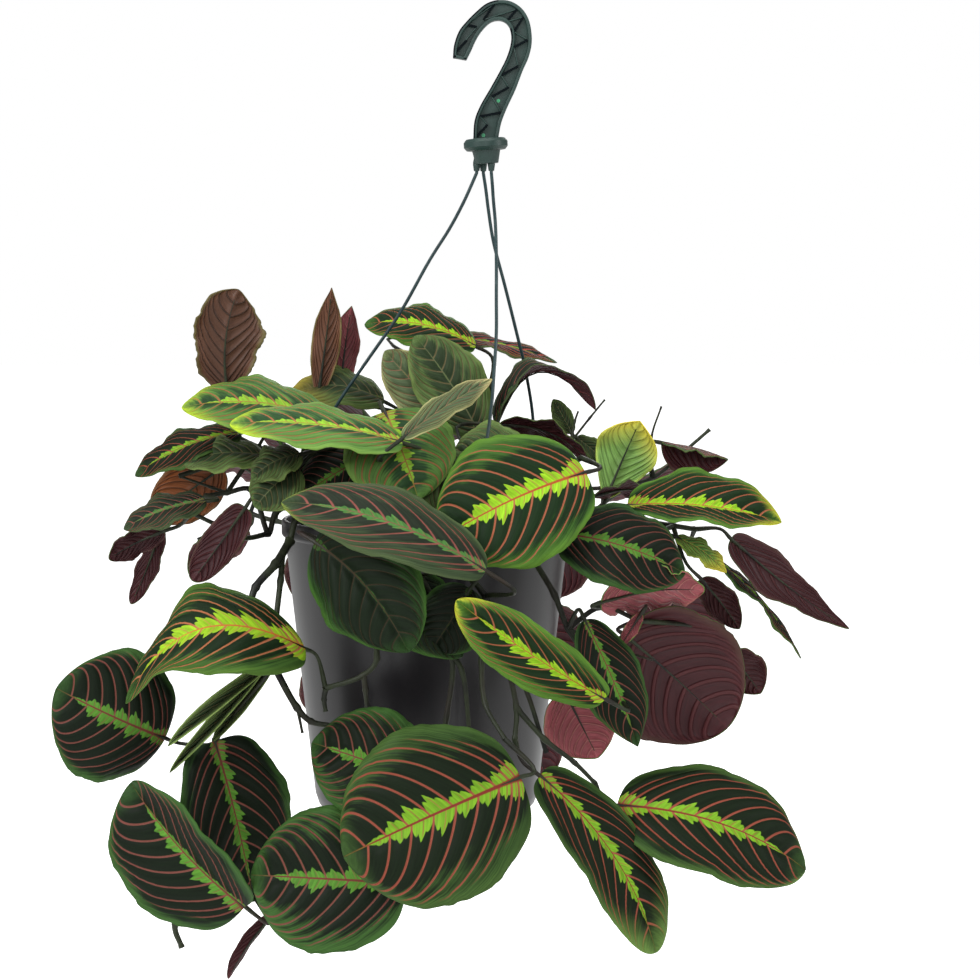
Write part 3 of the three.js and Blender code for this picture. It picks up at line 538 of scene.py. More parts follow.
class LeafPattern(GroupGraph):
    """The pattern of one leaf, from its place along the blade and across it.

    A side vein starts on the midrib at a share q of its length, and each line of equal q bends to
    the tip as the vein does. The number of veins passed grows with q, and it grows faster near the
    base, where the veins are crowded. Widths are shares of the blade's length, fingers are counted in
    each lobe of the light band, and HALF_WIDTHS is how many half widths a blade is taken to be long.
    """

    NAME = "leaf pattern"
    NUMBERS_IN = ("Seed", "Lobes", "Join", "Shade", "Line")
    NUMBERS_OUT = ("Vein", "Midrib", "Band", "Twig", "Dark", "Edge", "Silk", "Relief", "Along", "Out")
    VEIN_WIDTH = 0.0064
    VEIN_LOSS = 0.0036
    MIDRIB_WIDTH = 0.021
    MIDRIB_LOSS = 0.014
    HALF_WIDTHS = 3
    FINGERS = 3.0
    FINGER_SHIFT = 0.22
    RUFFLE = 0.03
    STREAKS = 3.2

    def __init__(self) -> None:
        """Starts the group, and finds where a point lies on the blade and among its side veins."""
        super().__init__()
        place, seed, self.lobes, self.join, self.shade, self.line = self.given
        along, across, _ = self.parts(place)
        self.seed = self.math("ROUND", seed)
        self.along = self.math("MINIMUM", self.math("MAXIMUM", along, 0.001), 0.999)
        self.across = across * 2.0 - 1.0
        self.out = abs(self.across)
        self.side = self.math("GREATER_THAN", self.across, 0.0)
        self.shape = self.math("SINE", self.along * math.pi) ** 0.55
        self.level = self.out * self.shape

        self.bend = 1.0 - self.out**Blade.BEND_POWER * Blade.BEND
        self.q = self.along ** (1.0 / self.bend)
        self.fade = self.math("EXPONENT", self.q * -Blade.CROWDING)
        passed = (1.0 - self.fade) * Blade.CROWDED + self.q * Blade.EVEN
        self.passed = passed + self.side * Blade.OFFSET
        self.lobe = self.math("FRACT", self.passed)
        self.near = self.math("PINGPONG", self.passed, 0.5)
        self.steep = self.steepness()

    def steepness(self) -> Value:
        """How fast the number of veins passed grows with the distance moved straight across them.

        Returns:
            The growth over one length of the blade.
        """
        rate = (self.fade * (Blade.CROWDED * Blade.CROWDING) + Blade.EVEN) * (self.q / self.bend)
        lengthways = 1.0 / self.along
        sideways = self.math("LOGARITHM", self.along, math.e) * self.out ** (Blade.BEND_POWER - 1)
        sideways = sideways * (self.HALF_WIDTHS * Blade.BEND * Blade.BEND_POWER)
        sideways = sideways / (self.bend * self.shape)
        return rate * self.math("SQRT", lengthways**2.0 + sideways * sideways)

    def stroke(self, gap: Value, width: Value, outer: float, inner: float) -> Value:
        """A line where the gap to its middle is small, soft between two shares of its width."""
        return self.ramp(gap, width * outer, width * inner)

    def lines(self) -> tuple[Value, Value]:
        """The side veins, which thin out and fade to the rim, and the midrib.

        Returns:
            Their two masks.
        """
        width = (self.VEIN_WIDTH - self.out * self.VEIN_LOSS) * self.line
        vein = self.stroke(self.near / self.steep, width, 1.35, 0.55)
        outer = self.out + self.fade * 0.3
        for low, high, value in ((0.97, 0.84, outer), (0.45, 0.75, self.passed), (0.985, 0.93, self.q)):
            vein = vein * self.ramp(value, low, high)
        midrib = self.stroke(self.level, self.MIDRIB_WIDTH - self.along * self.MIDRIB_LOSS, 1.4, 0.6)
        return vein, midrib * self.ramp(self.along, 0.96, 0.8, 0.35, 1.0)

    def lobed_band(self) -> tuple[Value, Value]:
        """The light band along the midrib, with a fingered lobe between each two veins.

        Returns:
            Its mask, and that of the fine twig in each lobe.
        """
        ruffle = self.grain(self.spot(self.along, self.across, self.seed), 24.0, 2.0)
        key = self.spot(self.math("FLOOR", self.passed), self.side, self.seed)
        chance = self.value("ShaderNodeTexWhiteNoise", {0: key}, noise_dimensions="3D")
        finger = self.lobe * self.FINGERS + chance * self.FINGER_SHIFT
        finger = abs(self.math("SINE", (finger - self.FINGER_SHIFT / 2) * math.pi))
        peak = (self.near**0.7 * 1.19 + 0.26) * (finger * 0.27 + 0.71)
        peak = self.math("MAXIMUM", peak, self.join * self.ramp(self.along, 0.8, 0.1, -0.15, 1.0))
        size = self.lobes * self.ramp(chance, 0.0, 1.0, 0.75, 1.15) * self.ramp(self.along, 0.93, 0.6)
        reach = size * peak + (ruffle - 0.5) * self.RUFFLE
        past = self.out - (reach + self.join * self.ramp(self.along, 0.13, 0.0))
        band = self.ramp(past, 0.012, -0.01) * self.ramp(peak, 0.0, 0.05)
        twig = self.ramp(abs(self.lobe - 0.45) / self.steep, 0.0042, 0.0016)
        return band, twig * self.ramp(past, -0.015, -0.06)

    def field(self) -> tuple[Value, Value, Value]:
        """The dark field, which runs out between the veins in silky streaks, and the pale rim.

        Returns:
            The masks of the field and the rim, and the streaks, which partly stand for painted sheen.
        """
        cloud = self.grain(self.spot(self.along, self.across, self.seed), 2.2, 3.0)
        silk = self.grain(self.spot(self.passed * self.STREAKS, self.out, self.seed), 2.6, 4.0)
        rough = self.out + (silk - 0.5) * 0.5 + (cloud - 0.5) + (0.3 - self.near) * 0.4
        dark = self.ramp(rough - self.shade, 0.15, -0.2)
        dark = dark * self.ramp(self.near, 0.0, 0.12, 0.65, 1.0) * self.ramp(self.along, 0.98, 0.86)
        return dark, self.ramp(self.out + silk * 0.1, 0.88, 1.05), silk

    def raised(self, silk: Value) -> Value:
        """How far the blade is raised between its veins.

        Args:
            silk: The streaks, which raise it a little too.

        Returns:
            The height, 0 to 1.
        """
        swell = self.math("SINE", self.lobe * math.pi) ** 0.7
        swell = swell * self.ramp(self.out, 1.0, 0.72) * self.ramp(self.level, 0.0, 0.16)
        return swell * 0.85 + silk * 0.15

    def build(self) -> None:
        """Fills the group."""
        dark, edge, silk = self.field()
        height = self.raised(silk)
        self.put_out(*self.lines(), *self.lobed_band(), dark, edge, silk, height, self.along, self.out)


class MouldedPattern(GroupGraph):
    """The fine grain, flow marks and dust of moulded plastic, from a place on it."""

    NAME = "moulded plastic"
    NUMBERS_IN = ("Flow",)
    NUMBERS_OUT = ("Grain", "Flow marks", "Dust")

    def build(self) -> None:
        """Fills the group."""
        place, flow = self.given
        grain = self.grain(place, 900.0, 3.0)
        marks = self.grain(self.stretched(place, (1.0, 1.0, 0.12)), flow, 3.0)
        *_, up = self.parts(self.value("ShaderNodeNewGeometry", {}, "Normal"))
        dust = self.ramp(up, -0.2, 1.0) * self.ramp(self.grain(place, 160.0, 5.0), 0.42, 0.7)
        self.put_out(grain, self.ramp(marks, 0.35, 0.7), dust)


@dataclass(frozen=True)
class PlasticFinish:
    """Moulded plastic: its colours, gloss and grain."""

    name: str
    body: Colour
    marks: Colour
    dust: Colour
    roughness: float
    flow: float
    grain_depth: float = 0.02
    specular: float = 0.45

    def build(self) -> Material:
        """Makes the material.

        Returns:
            The material.
        """
        finish, graph, shader = new_finish(self.name, Specular_IOR_Level=self.specular)
        feeds = {"Place": graph.object_place(), "Flow": self.flow}
        grain, marks, dust = graph.group(MouldedPattern.NAME, feeds).values()
        tint = graph.mix(marks * 0.5, colour(*self.body), colour(*self.marks))
        tint = graph.mix(dust * 0.45, tint, colour(*self.dust))
        gloss = dust * 0.25 + self.roughness + marks * 0.06
        normal = graph.relief(grain, self.grain_depth)
        graph.feed(shader, {"Base Color": tint, "Roughness": gloss, "Normal": normal})
        return finish


POT_FINISH = PlasticFinish("pot plastic", (22, 22, 25), (31, 30, 31), (58, 54, 51), 0.3, 26.0)
HOOK_FINISH = PlasticFinish("hanger plastic", (34, 56, 52), (44, 70, 64), (96, 118, 108), 0.4, 90.0)
STRAND_FINISH = PlasticFinish("strand plastic", (14, 42, 46), (36, 66, 68), (92, 114, 112), 0.33, 60.0)
# Painted shade: a dark, barely glossy finish on the hanger's ribs and on its edges that look to the left.
PAINTED_SHADE_FINISH = PlasticFinish(
    "hanger shadow", (8, 14, 18), (14, 22, 26), (30, 38, 38), 0.7, 90.0, specular=0.06
)
SPOT_FINISH = PlasticFinish("moulding spot", (60, 160, 110), (90, 185, 135), (130, 180, 155), 0.4, 200.0)


@dataclass(frozen=True)
class CrumbFinish:
    """A loose, matt natural material: its two colours and how coarse its mottle is."""

    name: str
    dark: Colour
    light: Colour
    scale: float
    depth: float

    def build(self) -> Material:
        """Makes the material.

        Returns:
            The material.
        """
        finish, graph, shader = new_finish(self.name, Specular_IOR_Level=0.2)
        place = graph.object_place()
        mottle = graph.grain(place, self.scale, 6.0)
        fine = graph.grain(place, 5 * self.scale, 4.0)
        tint = graph.mix(graph.ramp(mottle, 0.3, 0.7), colour(*self.dark), colour(*self.light))
        tint = graph.scaled(tint, graph.ramp(fine, 0.2, 0.8, 0.6, 1.3))
        gloss = graph.ramp(fine, 0.2, 0.8, 0.8, 1.0)
        normal = graph.relief(mottle + fine, self.depth)
        graph.feed(shader, {"Base Color": tint, "Roughness": gloss, "Normal": normal})
        return finish


SOIL_FINISH = CrumbFinish("potting mix", (30, 22, 17), (74, 56, 42), 160.0, 1.2)
BARK_FINISH = CrumbFinish("bark crumbs", (52, 36, 26), (112, 84, 60), 300.0, 0.5)
GRIT_FINISH = CrumbFinish("white grit", (170, 165, 155), (222, 218, 208), 400.0, 0.4)


@dataclass(frozen=True)
class LeafFinish:
    """The colours of one kind of leaf, above and below, and the sizes of its markings."""

    name: str
    band: Colour
    green: Colour
    dark: Colour
    edge: Colour
    vein: Colour
    midrib: Colour
    tip: Colour
    under: Colour = (84, 44, 50)
    under_vein: Colour = (138, 66, 70)
    under_edge: Colour = (96, 62, 58)
    lobes: float = 0.15
    join: float = 0.25
    shade: float = 0.72
    line: float = 1.0
    roughness: float = 0.54

    def pattern(self, graph: Graph) -> tuple[dict[str, Value], list[Value], Value]:
        """Places the leaf pattern in a material.

        Args:
            graph: The material's graph.

        Returns:
            The pattern's outputs, the parts of the leaf's own tone, and how much its rim is widened.
        """
        tones = graph.parts(graph.value("ShaderNodeAttribute", {}, "Vector", attribute_name=Blade.TONE))
        rim = graph.value("ShaderNodeAttribute", {}, "Fac", attribute_name=Blade.RIM)
        feeds = {
            "Place": graph.value("ShaderNodeUVMap", {}, uv_map=Blade.MAP),
            "Seed": tones[2],
            "Lobes": self.lobes,
            "Join": self.join,
            "Shade": self.shade - rim,
            "Line": self.line,
        }
        return graph.group(LeafPattern.NAME, feeds), tones, rim

    def aged(self, graph: Graph, found: dict[str, Value], tones: Sequence[Value], tint: Value) -> Value:
        """The blade's colour, turned to its tip's colour from its tip down, in the leaf's own tone.

        Args:
            graph: The material's graph.
            found: The pattern's outputs.
            tones: The parts of the leaf's own tone: its lightness and then its age.
            tint: The colour of a young blade.

        Returns:
            The colour.
        """
        from_tip = found["Along"] + found["Out"] * 0.25 + found["Silk"] * 0.2
        share = graph.ramp(from_tip, 1.32 - tones[1], 1.36) * graph.ramp(tones[1], 0.0, 0.05)
        return graph.scaled(graph.mix(share, tint, colour(*self.tip)), tones[0])

    def upper(self) -> Material:
        """Makes the material of the upper face.

        Returns:
            The material.
        """
        finish, graph, shader = new_finish(self.name + " above", Specular_IOR_Level=0.12)
        found, tones, rim = self.pattern(graph)
        silk, vein, edge = found["Silk"], colour(*self.vein), colour(*self.edge)
        tint = graph.mix(graph.ramp(rim, 0.04, 0.2, 0.0, 0.8), colour(*self.green), edge)
        tint = graph.mix(found["Dark"], tint, colour(*self.dark))
        tint = graph.mix(found["Edge"] * 0.85, tint, edge)
        # The streaks make the blade and its band lighter and darker: partly its velvety grain, partly
        # painted sheen.
        tint = graph.scaled(tint, graph.ramp(silk, 0.25, 0.75, 0.78, 1.22))
        mottled = graph.scaled(colour(*self.band), graph.ramp(silk, 0.25, 0.75, 0.68, 1.15))
        tint = graph.mix(found["Band"], tint, mottled)
        tint = graph.mix(found["Twig"] * 0.6, tint, vein)
        tint = graph.mix(found["Vein"] * 0.92, tint, vein)
        tint = graph.mix(found["Midrib"], tint, colour(*self.midrib))
        graph.feed(shader, {
            "Base Color": self.aged(graph, found, tones, tint),
            "Roughness": graph.ramp(silk, 0.2, 0.8, self.roughness - 0.07, self.roughness + 0.1),
            "Normal": graph.relief(found["Relief"], 1.1),
        })
        return finish

    def lower(self) -> Material:
        """Makes the material of the lower face.

        Returns:
            The material.
        """
        finish, graph, shader = new_finish(self.name + " below", Specular_IOR_Level=0.3)
        found, tones, _ = self.pattern(graph)
        silk, vein = found["Silk"], colour(*self.under_vein)
        tint = graph.mix(found["Edge"], colour(*self.under), colour(*self.under_edge))
        tint = graph.scaled(tint, graph.ramp(found["Dark"], 0.0, 1.0, 1.12, 0.82))
        # The streaks lighten and darken the underside: partly its velvety grain, partly painted sheen.
        tint = graph.scaled(tint, graph.ramp(silk, 0.2, 0.8, 0.75, 1.25))
        tint = graph.mix(found["Vein"] * 0.75, tint, vein)
        tint = graph.mix(found["Midrib"], tint, vein)
        graph.feed(shader, {
            "Base Color": self.aged(graph, found, tones, tint),
            "Roughness": graph.ramp(silk, 0.2, 0.8, 0.42, 0.6),
            "Normal": graph.relief(found["Vein"] - found["Relief"], 0.8),
        })
        return finish


class Look(Enum):
    """The kinds of leaf on the plant."""

    DARK = LeafFinish(
        "dark leaf", band=(128, 180, 44), green=(48, 74, 34), dark=(19, 31, 15), edge=(74, 104, 48),
        vein=(160, 80, 64), midrib=(132, 52, 42), tip=(112, 146, 70), lobes=0.235, join=0.3, shade=0.9,
        line=0.95,
    )
    DEEP = LeafFinish(
        "deep green leaf", band=(92, 146, 52), green=(46, 74, 36), dark=(17, 27, 15), edge=(62, 98, 44),
        vein=(128, 72, 64), midrib=(112, 58, 48), tip=(120, 110, 50), lobes=0.2, join=0.15, shade=0.92,
        line=0.95,
    )
    PLAIN = LeafFinish(
        "plain deep leaf", band=(64, 104, 44), green=(46, 76, 34), dark=(25, 38, 22), edge=(80, 126, 52),
        vein=(60, 50, 36), midrib=(70, 58, 40), tip=(120, 130, 60), lobes=0.03, shade=0.78, line=0.8,
    )
    FRESH = LeafFinish(
        "fresh leaf", band=(156, 208, 42), green=(60, 98, 36), dark=(21, 42, 18), edge=(92, 132, 46),
        vein=(174, 96, 70), midrib=(170, 84, 44), tip=(206, 206, 60), lobes=0.28, join=0.4, shade=0.8,
        line=0.95,
    )
    BRIGHT = LeafFinish(
        "bright leaf", band=(166, 214, 46), green=(64, 98, 40), dark=(23, 42, 20), edge=(92, 128, 50),
        vein=(194, 116, 80), midrib=(206, 120, 56), tip=(120, 110, 56), lobes=0.35, join=0.6, shade=0.78,
    )
    # Paler green partly as painted sheen, the look of a leaf seen at a glancing angle.
    LIGHT = LeafFinish(
        "light leaf", band=(150, 200, 60), green=(92, 132, 62), dark=(44, 74, 42), edge=(124, 162, 74),
        vein=(172, 104, 72), midrib=(160, 120, 60), tip=(196, 224, 56), lobes=0.21, shade=0.42,
    )
    # Grey-green partly as painted sheen, the greying that a glancing reflection gives to these leaves.
    DULL = LeafFinish(
        "dull leaf", band=(84, 134, 66), green=(60, 76, 50), dark=(38, 46, 34), edge=(82, 98, 62),
        vein=(150, 84, 76), midrib=(116, 92, 66), tip=(150, 170, 70), lobes=0.18, shade=0.66,
    )
    SHADE = LeafFinish(
        "shaded leaf", band=(88, 116, 60), green=(84, 106, 58), dark=(46, 60, 38), edge=(112, 132, 72),
        vein=(104, 92, 64), midrib=(96, 100, 70), tip=(182, 164, 62), lobes=0.03, shade=0.55,
    )
    PALE = LeafFinish(
        "pale leaf", band=(120, 150, 84), green=(120, 132, 88), dark=(88, 104, 74), edge=(196, 190, 132),
        vein=(152, 104, 84), midrib=(140, 110, 80), tip=(222, 206, 146), lobes=0.03, shade=0.6, line=0.8,
    )
    AGED = LeafFinish(
        "aged leaf", band=(150, 186, 76), green=(116, 158, 70), dark=(78, 120, 56), edge=(176, 192, 78),
        vein=(176, 124, 76), midrib=(184, 186, 84), tip=(234, 216, 70), under=(122, 164, 82),
        under_vein=(112, 148, 76), under_edge=(160, 188, 84), lobes=0.04, shade=0.3,
    )
    MAROON = LeafFinish(
        "maroon leaf", band=(130, 160, 60), green=(60, 84, 46), dark=(30, 36, 30), edge=(84, 100, 56),
        vein=(160, 72, 62), midrib=(140, 52, 46), tip=(110, 90, 60), under=(66, 28, 32),
        under_vein=(84, 38, 40), under_edge=(72, 46, 38), line=2.2,
    )
    ROSE = LeafFinish(
        "rose leaf", band=(140, 180, 60), green=(70, 104, 50), dark=(34, 46, 32), edge=(96, 130, 60),
        vein=(180, 86, 74), midrib=(150, 60, 50), tip=(120, 110, 70), under=(160, 82, 88),
        under_vein=(190, 120, 116), under_edge=(166, 104, 96), line=1.6,
    )
    RUST = LeafFinish(
        "rust leaf", band=(120, 130, 60), green=(84, 84, 50), dark=(50, 46, 36), edge=(110, 96, 60),
        vein=(150, 84, 62), midrib=(140, 70, 50), tip=(140, 90, 60), under=(144, 80, 36),
        under_vein=(96, 60, 32), under_edge=(120, 84, 48),
    )
    BROWN = replace(
        RUST, name="brown leaf", under=(96, 62, 44), under_vein=(64, 44, 32), under_edge=(104, 96, 54),
    )


@dataclass(frozen=True)
class StemFinish:
    """Green stems that redden in places."""

    name: str = "stem"
    green: tuple = (42, 50, 29)
    red: tuple = (44, 31, 26)
    shade: tuple = (17, 19, 15)

    def build(self) -> Material:
        """Makes the material.

        Returns:
            The material.
        """
        finish, graph, shader = new_finish(self.name, Specular_IOR_Level=0.35)
        place = graph.object_place()
        blush = graph.ramp(graph.grain(place, 22.0, 2.0), 0.5, 0.72)
        shade = graph.ramp(graph.grain(place, 60.0, 3.0), 0.4, 0.7)
        fibre = graph.grain(graph.stretched(place, (1.0, 1.0, 0.15)), 700.0, 3.0)
        tint = graph.mix(shade, colour(*self.green), colour(*self.shade))
        tint = graph.mix(blush, tint, colour(*self.red))
        tint = graph.scaled(tint, graph.ramp(fibre, 0.2, 0.8, 0.75, 1.2))
        gloss = graph.ramp(fibre, 0.2, 0.8, 0.4, 0.6)
        graph.feed(shader, {"Base Color": tint, "Roughness": gloss, "Normal": graph.relief(fibre, 0.15)})
        return finish


# Pot and potting mix


@dataclass
class Pot:
    """The hanging pot: a tapered shell with a rolled lip, pin holes and drain holes."""

    axis: float = -43
    lip_top: float = -298
    lip_radius: float = 87
    lip_height: float = 10
    lip_overhang: float = 2
    bottom: float = -475
    flat_radius: float = 54
    corner_top: float = -462
    corner_radius: float = 67
    wall: float = 2
    sides: int = 144
    drain_holes: int = 6
    drain_radius: float = 4
    drain_circle: float = 38
    foot_lift: float = 1.2
    pin_height: float = -316
    pin_hole_radius: float = 1.9
    edge_round: float = 0.5
    round_above: float = 28

    def around(self, angle: float, radius: float, height: float) -> Vector:
        """The place at an angle in degrees round the axis, 0 at +X and 270 at the front."""
        turn = math.radians(angle)
        return Vector((self.axis + radius * math.cos(turn), radius * math.sin(turn), height))

    def wall_radius(self, height: float) -> float:
        """The outer radius of the wall.

        Args:
            height: The height at which it is taken.

        Returns:
            The radius.
        """
        top = self.lip_top - self.lip_height
        share = (height - self.corner_top) / (top - self.corner_top)
        return self.corner_radius + (self.lip_radius - self.lip_overhang - self.corner_radius) * share

    def shell(self) -> Piece:
        """The wall, the lip and the bottom, before any hole.

        Returns:
            The piece.
        """
        lip_bottom = self.lip_top - self.lip_height
        underside = self.bottom + self.foot_lift
        profile = [
            (0, underside),
            (self.flat_radius - 9, underside),
            (self.flat_radius - 7, self.bottom),
            (self.flat_radius, self.bottom),
            (self.flat_radius + 7, self.bottom + 2.5),
            (self.corner_radius - 2, self.bottom + 7),
            (self.corner_radius, self.corner_top),
            (self.wall_radius(lip_bottom), lip_bottom),
            (self.lip_radius - 0.8, lip_bottom),
            (self.lip_radius, lip_bottom + 1.5),
            (self.lip_radius, self.lip_top - 1),
            (self.lip_radius - 1, self.lip_top),
            (self.wall_radius(self.lip_top) - self.wall, self.lip_top),
            (self.corner_radius - self.wall, self.corner_top),
            (self.flat_radius + 5, self.bottom + 4.5),
            (self.flat_radius, underside + self.wall),
            (0, underside + self.wall),
        ]
        pot = turned(profile, Vector((self.axis, 0, 0)), self.sides)
        bevelled(pot, self.edge_round, 3, self.round_above)
        return pot

    def build(self, pin_angles: Sequence[float]) -> Piece:
        """Makes the finished pot.

        Args:
            pin_angles: Where the hanger's pins go through its wall.

        Returns:
            The piece.
        """
        pot = self.shell()
        for number in range(self.drain_holes):
            angle = 30 + 360 * number / self.drain_holes
            low = self.around(angle, self.drain_circle, self.bottom - 2)
            high = self.around(angle, self.drain_circle, self.bottom + 6)
            cut(pot, round_bar(low, high, (self.drain_radius, self.drain_radius), 24))
        for angle in pin_angles:
            inside = self.around(angle, self.wall_radius(self.pin_height) - 2 * self.wall, self.pin_height)
            outside = self.around(angle, self.lip_radius, self.pin_height)
            cut(pot, round_bar(inside, outside, (self.pin_hole_radius, self.pin_hole_radius), 20))
        smoothed(pot)
        pot.data.materials.append(POT_FINISH.build())
        return dressed(pot, "hanging_pot", ["pot"])


@dataclass
class PottingMix:
    """The potting mix: lumpy on top, with bark crumbs and grit lying on it."""

    pot: Pot
    top: float = -326
    lump: float = 2.5
    fine_lump: float = 0.9
    roughness: float = 0.5
    clear: float = 0.35
    rings: int = 26
    sides: int = 96
    bark_crumbs: int = 240
    bark_sizes: tuple[float, float] = (1.1, 3.4)
    grit_crumbs: int = 34
    grit_sizes: tuple[float, float] = (0.8, 1.6)
    crumb_lengths: tuple[float, float] = (0.8, 1.7)
    crumb_heights: tuple[float, float] = (0.5, 0.9)
    crumb_lift: float = 0.3
    seed: int = 5

    def height(self, x: float, y: float) -> float:
        """The height of its top, which has slow swells and finer lumps.

        Args:
            x: How far right of the pot's axis the place is.
            y: How far behind the axis it is.

        Returns:
            The height.
        """
        slow = 0.6 * math.sin(x / 9 + 1) * math.cos(y / 11) + 0.4 * math.sin((x + y) / 5)
        fine = noise.noise(Vector((x / 3.2, y / 3.2, 4))) + 0.5 * noise.noise(Vector((x / 1.3, y / 1.3, 9)))
        return self.top + self.lump * slow + self.fine_lump * fine

    def crumb(self) -> Piece:
        """One rough crumb of about 1 mm in radius, round the origin.

        Returns:
            The piece.
        """
        deselect()
        bpy.ops.mesh.primitive_ico_sphere_add(subdivisions=2, radius=MM)
        crumb = bpy.context.object
        for vertex in crumb.data.vertices:
            vertex.co *= 1 + self.roughness * noise.noise(vertex.co / MM * 1.3)
        return crumb

    def scattered(
        self, count: int, sizes: tuple[float, float], draw: random.Random
    ) -> list[Piece]:
        """Crumbs lying on the top.

        Args:
            count: How many.
            sizes: The least and the most radius.
            draw: The draw of places, sizes and turns.

        Returns:
            The pieces.
        """
        model = self.crumb()
        crumbs = []
        edge = self.pot.wall_radius(self.top) - self.pot.wall - 2 * sizes[1]
        for _ in range(count):
            radius = edge * math.sqrt(draw.random())
            spot = self.pot.around(draw.uniform(0, 360), radius, 0)
            size = draw.uniform(*sizes)
            spot.z = self.height(spot.x - self.pot.axis, spot.y) + self.crumb_lift * size
            turn = Quaternion(Vector([draw.uniform(-1, 1) for _ in range(3)]), draw.uniform(0, 6))
            long, flat = draw.uniform(*self.crumb_lengths), draw.uniform(*self.crumb_heights)
            stretch = Matrix.Diagonal((size * long, size, size * flat, 1))
            crumb = copied(model)
            placing = Matrix.Translation(spot * MM) @ turn.normalized().to_matrix().to_4x4()
            crumb.data.transform(placing @ stretch)
            crumbs.append(crumb)
        bpy.data.objects.remove(model)
        return crumbs

    def build(self) -> Piece:
        """Makes the finished potting mix.

        Returns:
            The piece.
        """
        pot = self.pot
        side = pot.wall_radius(self.top) - pot.wall - self.clear
        foot = pot.bottom + pot.foot_lift + pot.wall + self.clear
        corner = pot.corner_radius - pot.wall - self.clear
        profile = [(0, foot), (pot.flat_radius - 1, foot), (corner, pot.corner_top + 1), (side, self.top)]
        profile += [(side * (1 - ring / self.rings), self.top) for ring in range(1, self.rings + 1)]
        mix = turned(profile, Vector((pot.axis, 0, 0)), self.sides)
        for vertex in mix.data.vertices:
            if vertex.co.z > (self.top - 1) * MM:
                place = vertex.co / MM
                vertex.co.z = self.height(place.x - pot.axis, place.y) * MM
        smoothed(mix, 60)
        mix.data.materials.append(SOIL_FINISH.build())
        draw = random.Random(self.seed)
        groups = [
            (self.bark_crumbs, self.bark_sizes, BARK_FINISH.build()),
            (self.grit_crumbs, self.grit_sizes, GRIT_FINISH.build()),
        ]
        pieces = [mix]
        for count, sizes, finish in groups:
            crumbs = joined(self.scattered(count, sizes, draw))
            crumbs.data.materials.append(finish)
            pieces.append(crumbs)
        return dressed(joined(pieces), "potting_mix", ["soil"])


# Hanger


HOOK_STATIONS = (
    ((-27.1, -22.3), (-19.2, -23.7)),
    ((-26.4, -15), (-16.6, -18.6)),
    ((-23.4, -6.6), (-12.8, -10.4)),
    ((-19.2, -1.2), (-9.2, -5.3)),
    ((-12.8, 5.2), (-5.4, -1.6)),
    ((-7, 9.8), (-2.6, -0.3)),
    ((0, 11.9), (0, 0)),
    ((7.2, 11.2), (2.4, -0.4)),
    ((13.8, 7.1), (4.8, -1.8)),
    ((18, 0.6), (6.9, -4.8)),
    ((19.8, -7.8), (7.8, -9.5)),
    ((19.8, -15), (7.2, -15.4)),
    ((18, -22.2), (4.8, -22.8)),
    ((14.7, -29.6), (0.9, -30.6)),
    ((10.2, -41.4), (-4.8, -40.8)),
    ((5.4, -51.6), (-11, -51.6)),
    ((1.8, -60.9), (-14.2, -60)),
    ((-0.3, -72), (-15, -72)),
)

# The left and right end of each rib whose shadow is painted on in a dark finish, from the hook's free end
# to the collar. A thin rib leads from the left end of each to the right end of the next.
HOOK_RIBS = (
    ((-25.2, -18.8), (-18.9, -12)),
    ((-19.5, -2.6), (-12.9, -4.1)),
    ((-8.8, 0.2), (-2.6, 9.4)),
    ((4.6, -1), (11, 6.5)),
    ((9.2, -6.9), (14.9, 1.8)),
    ((9.2, -16.2), (17.4, -11.8)),
    ((1.6, -33), (11.8, -27.4)),
    ((-4, -45.6), (6.2, -40)),
    ((-10.9, -57.4), (1.6, -55)),
    ((-13.2, -69.4), (-6.6, -62.4)),
)


def ribbon(first: Sequence[Vector], last: Sequence[Vector], thickness: float) -> Piece:
    """A flat strip between two edges, as thick to the front as to the back.

    Args:
        first: The points of one edge.
        last: As many points of the other edge.
        thickness: How thick it is.

    Returns:
        The piece.
    """
    deselect()
    count = len(first)
    bpy.ops.mesh.primitive_grid_add(x_subdivisions=count - 1, y_subdivisions=1, size=1)
    strip = bpy.context.object
    for vertex in strip.data.vertices:
        edge = first if vertex.co.y < 0 else last
        vertex.co = edge[round((vertex.co.x + 0.5) * (count - 1))] * MM
    modified(strip, "SOLIDIFY", thickness=thickness * MM, offset=0)
    return strip


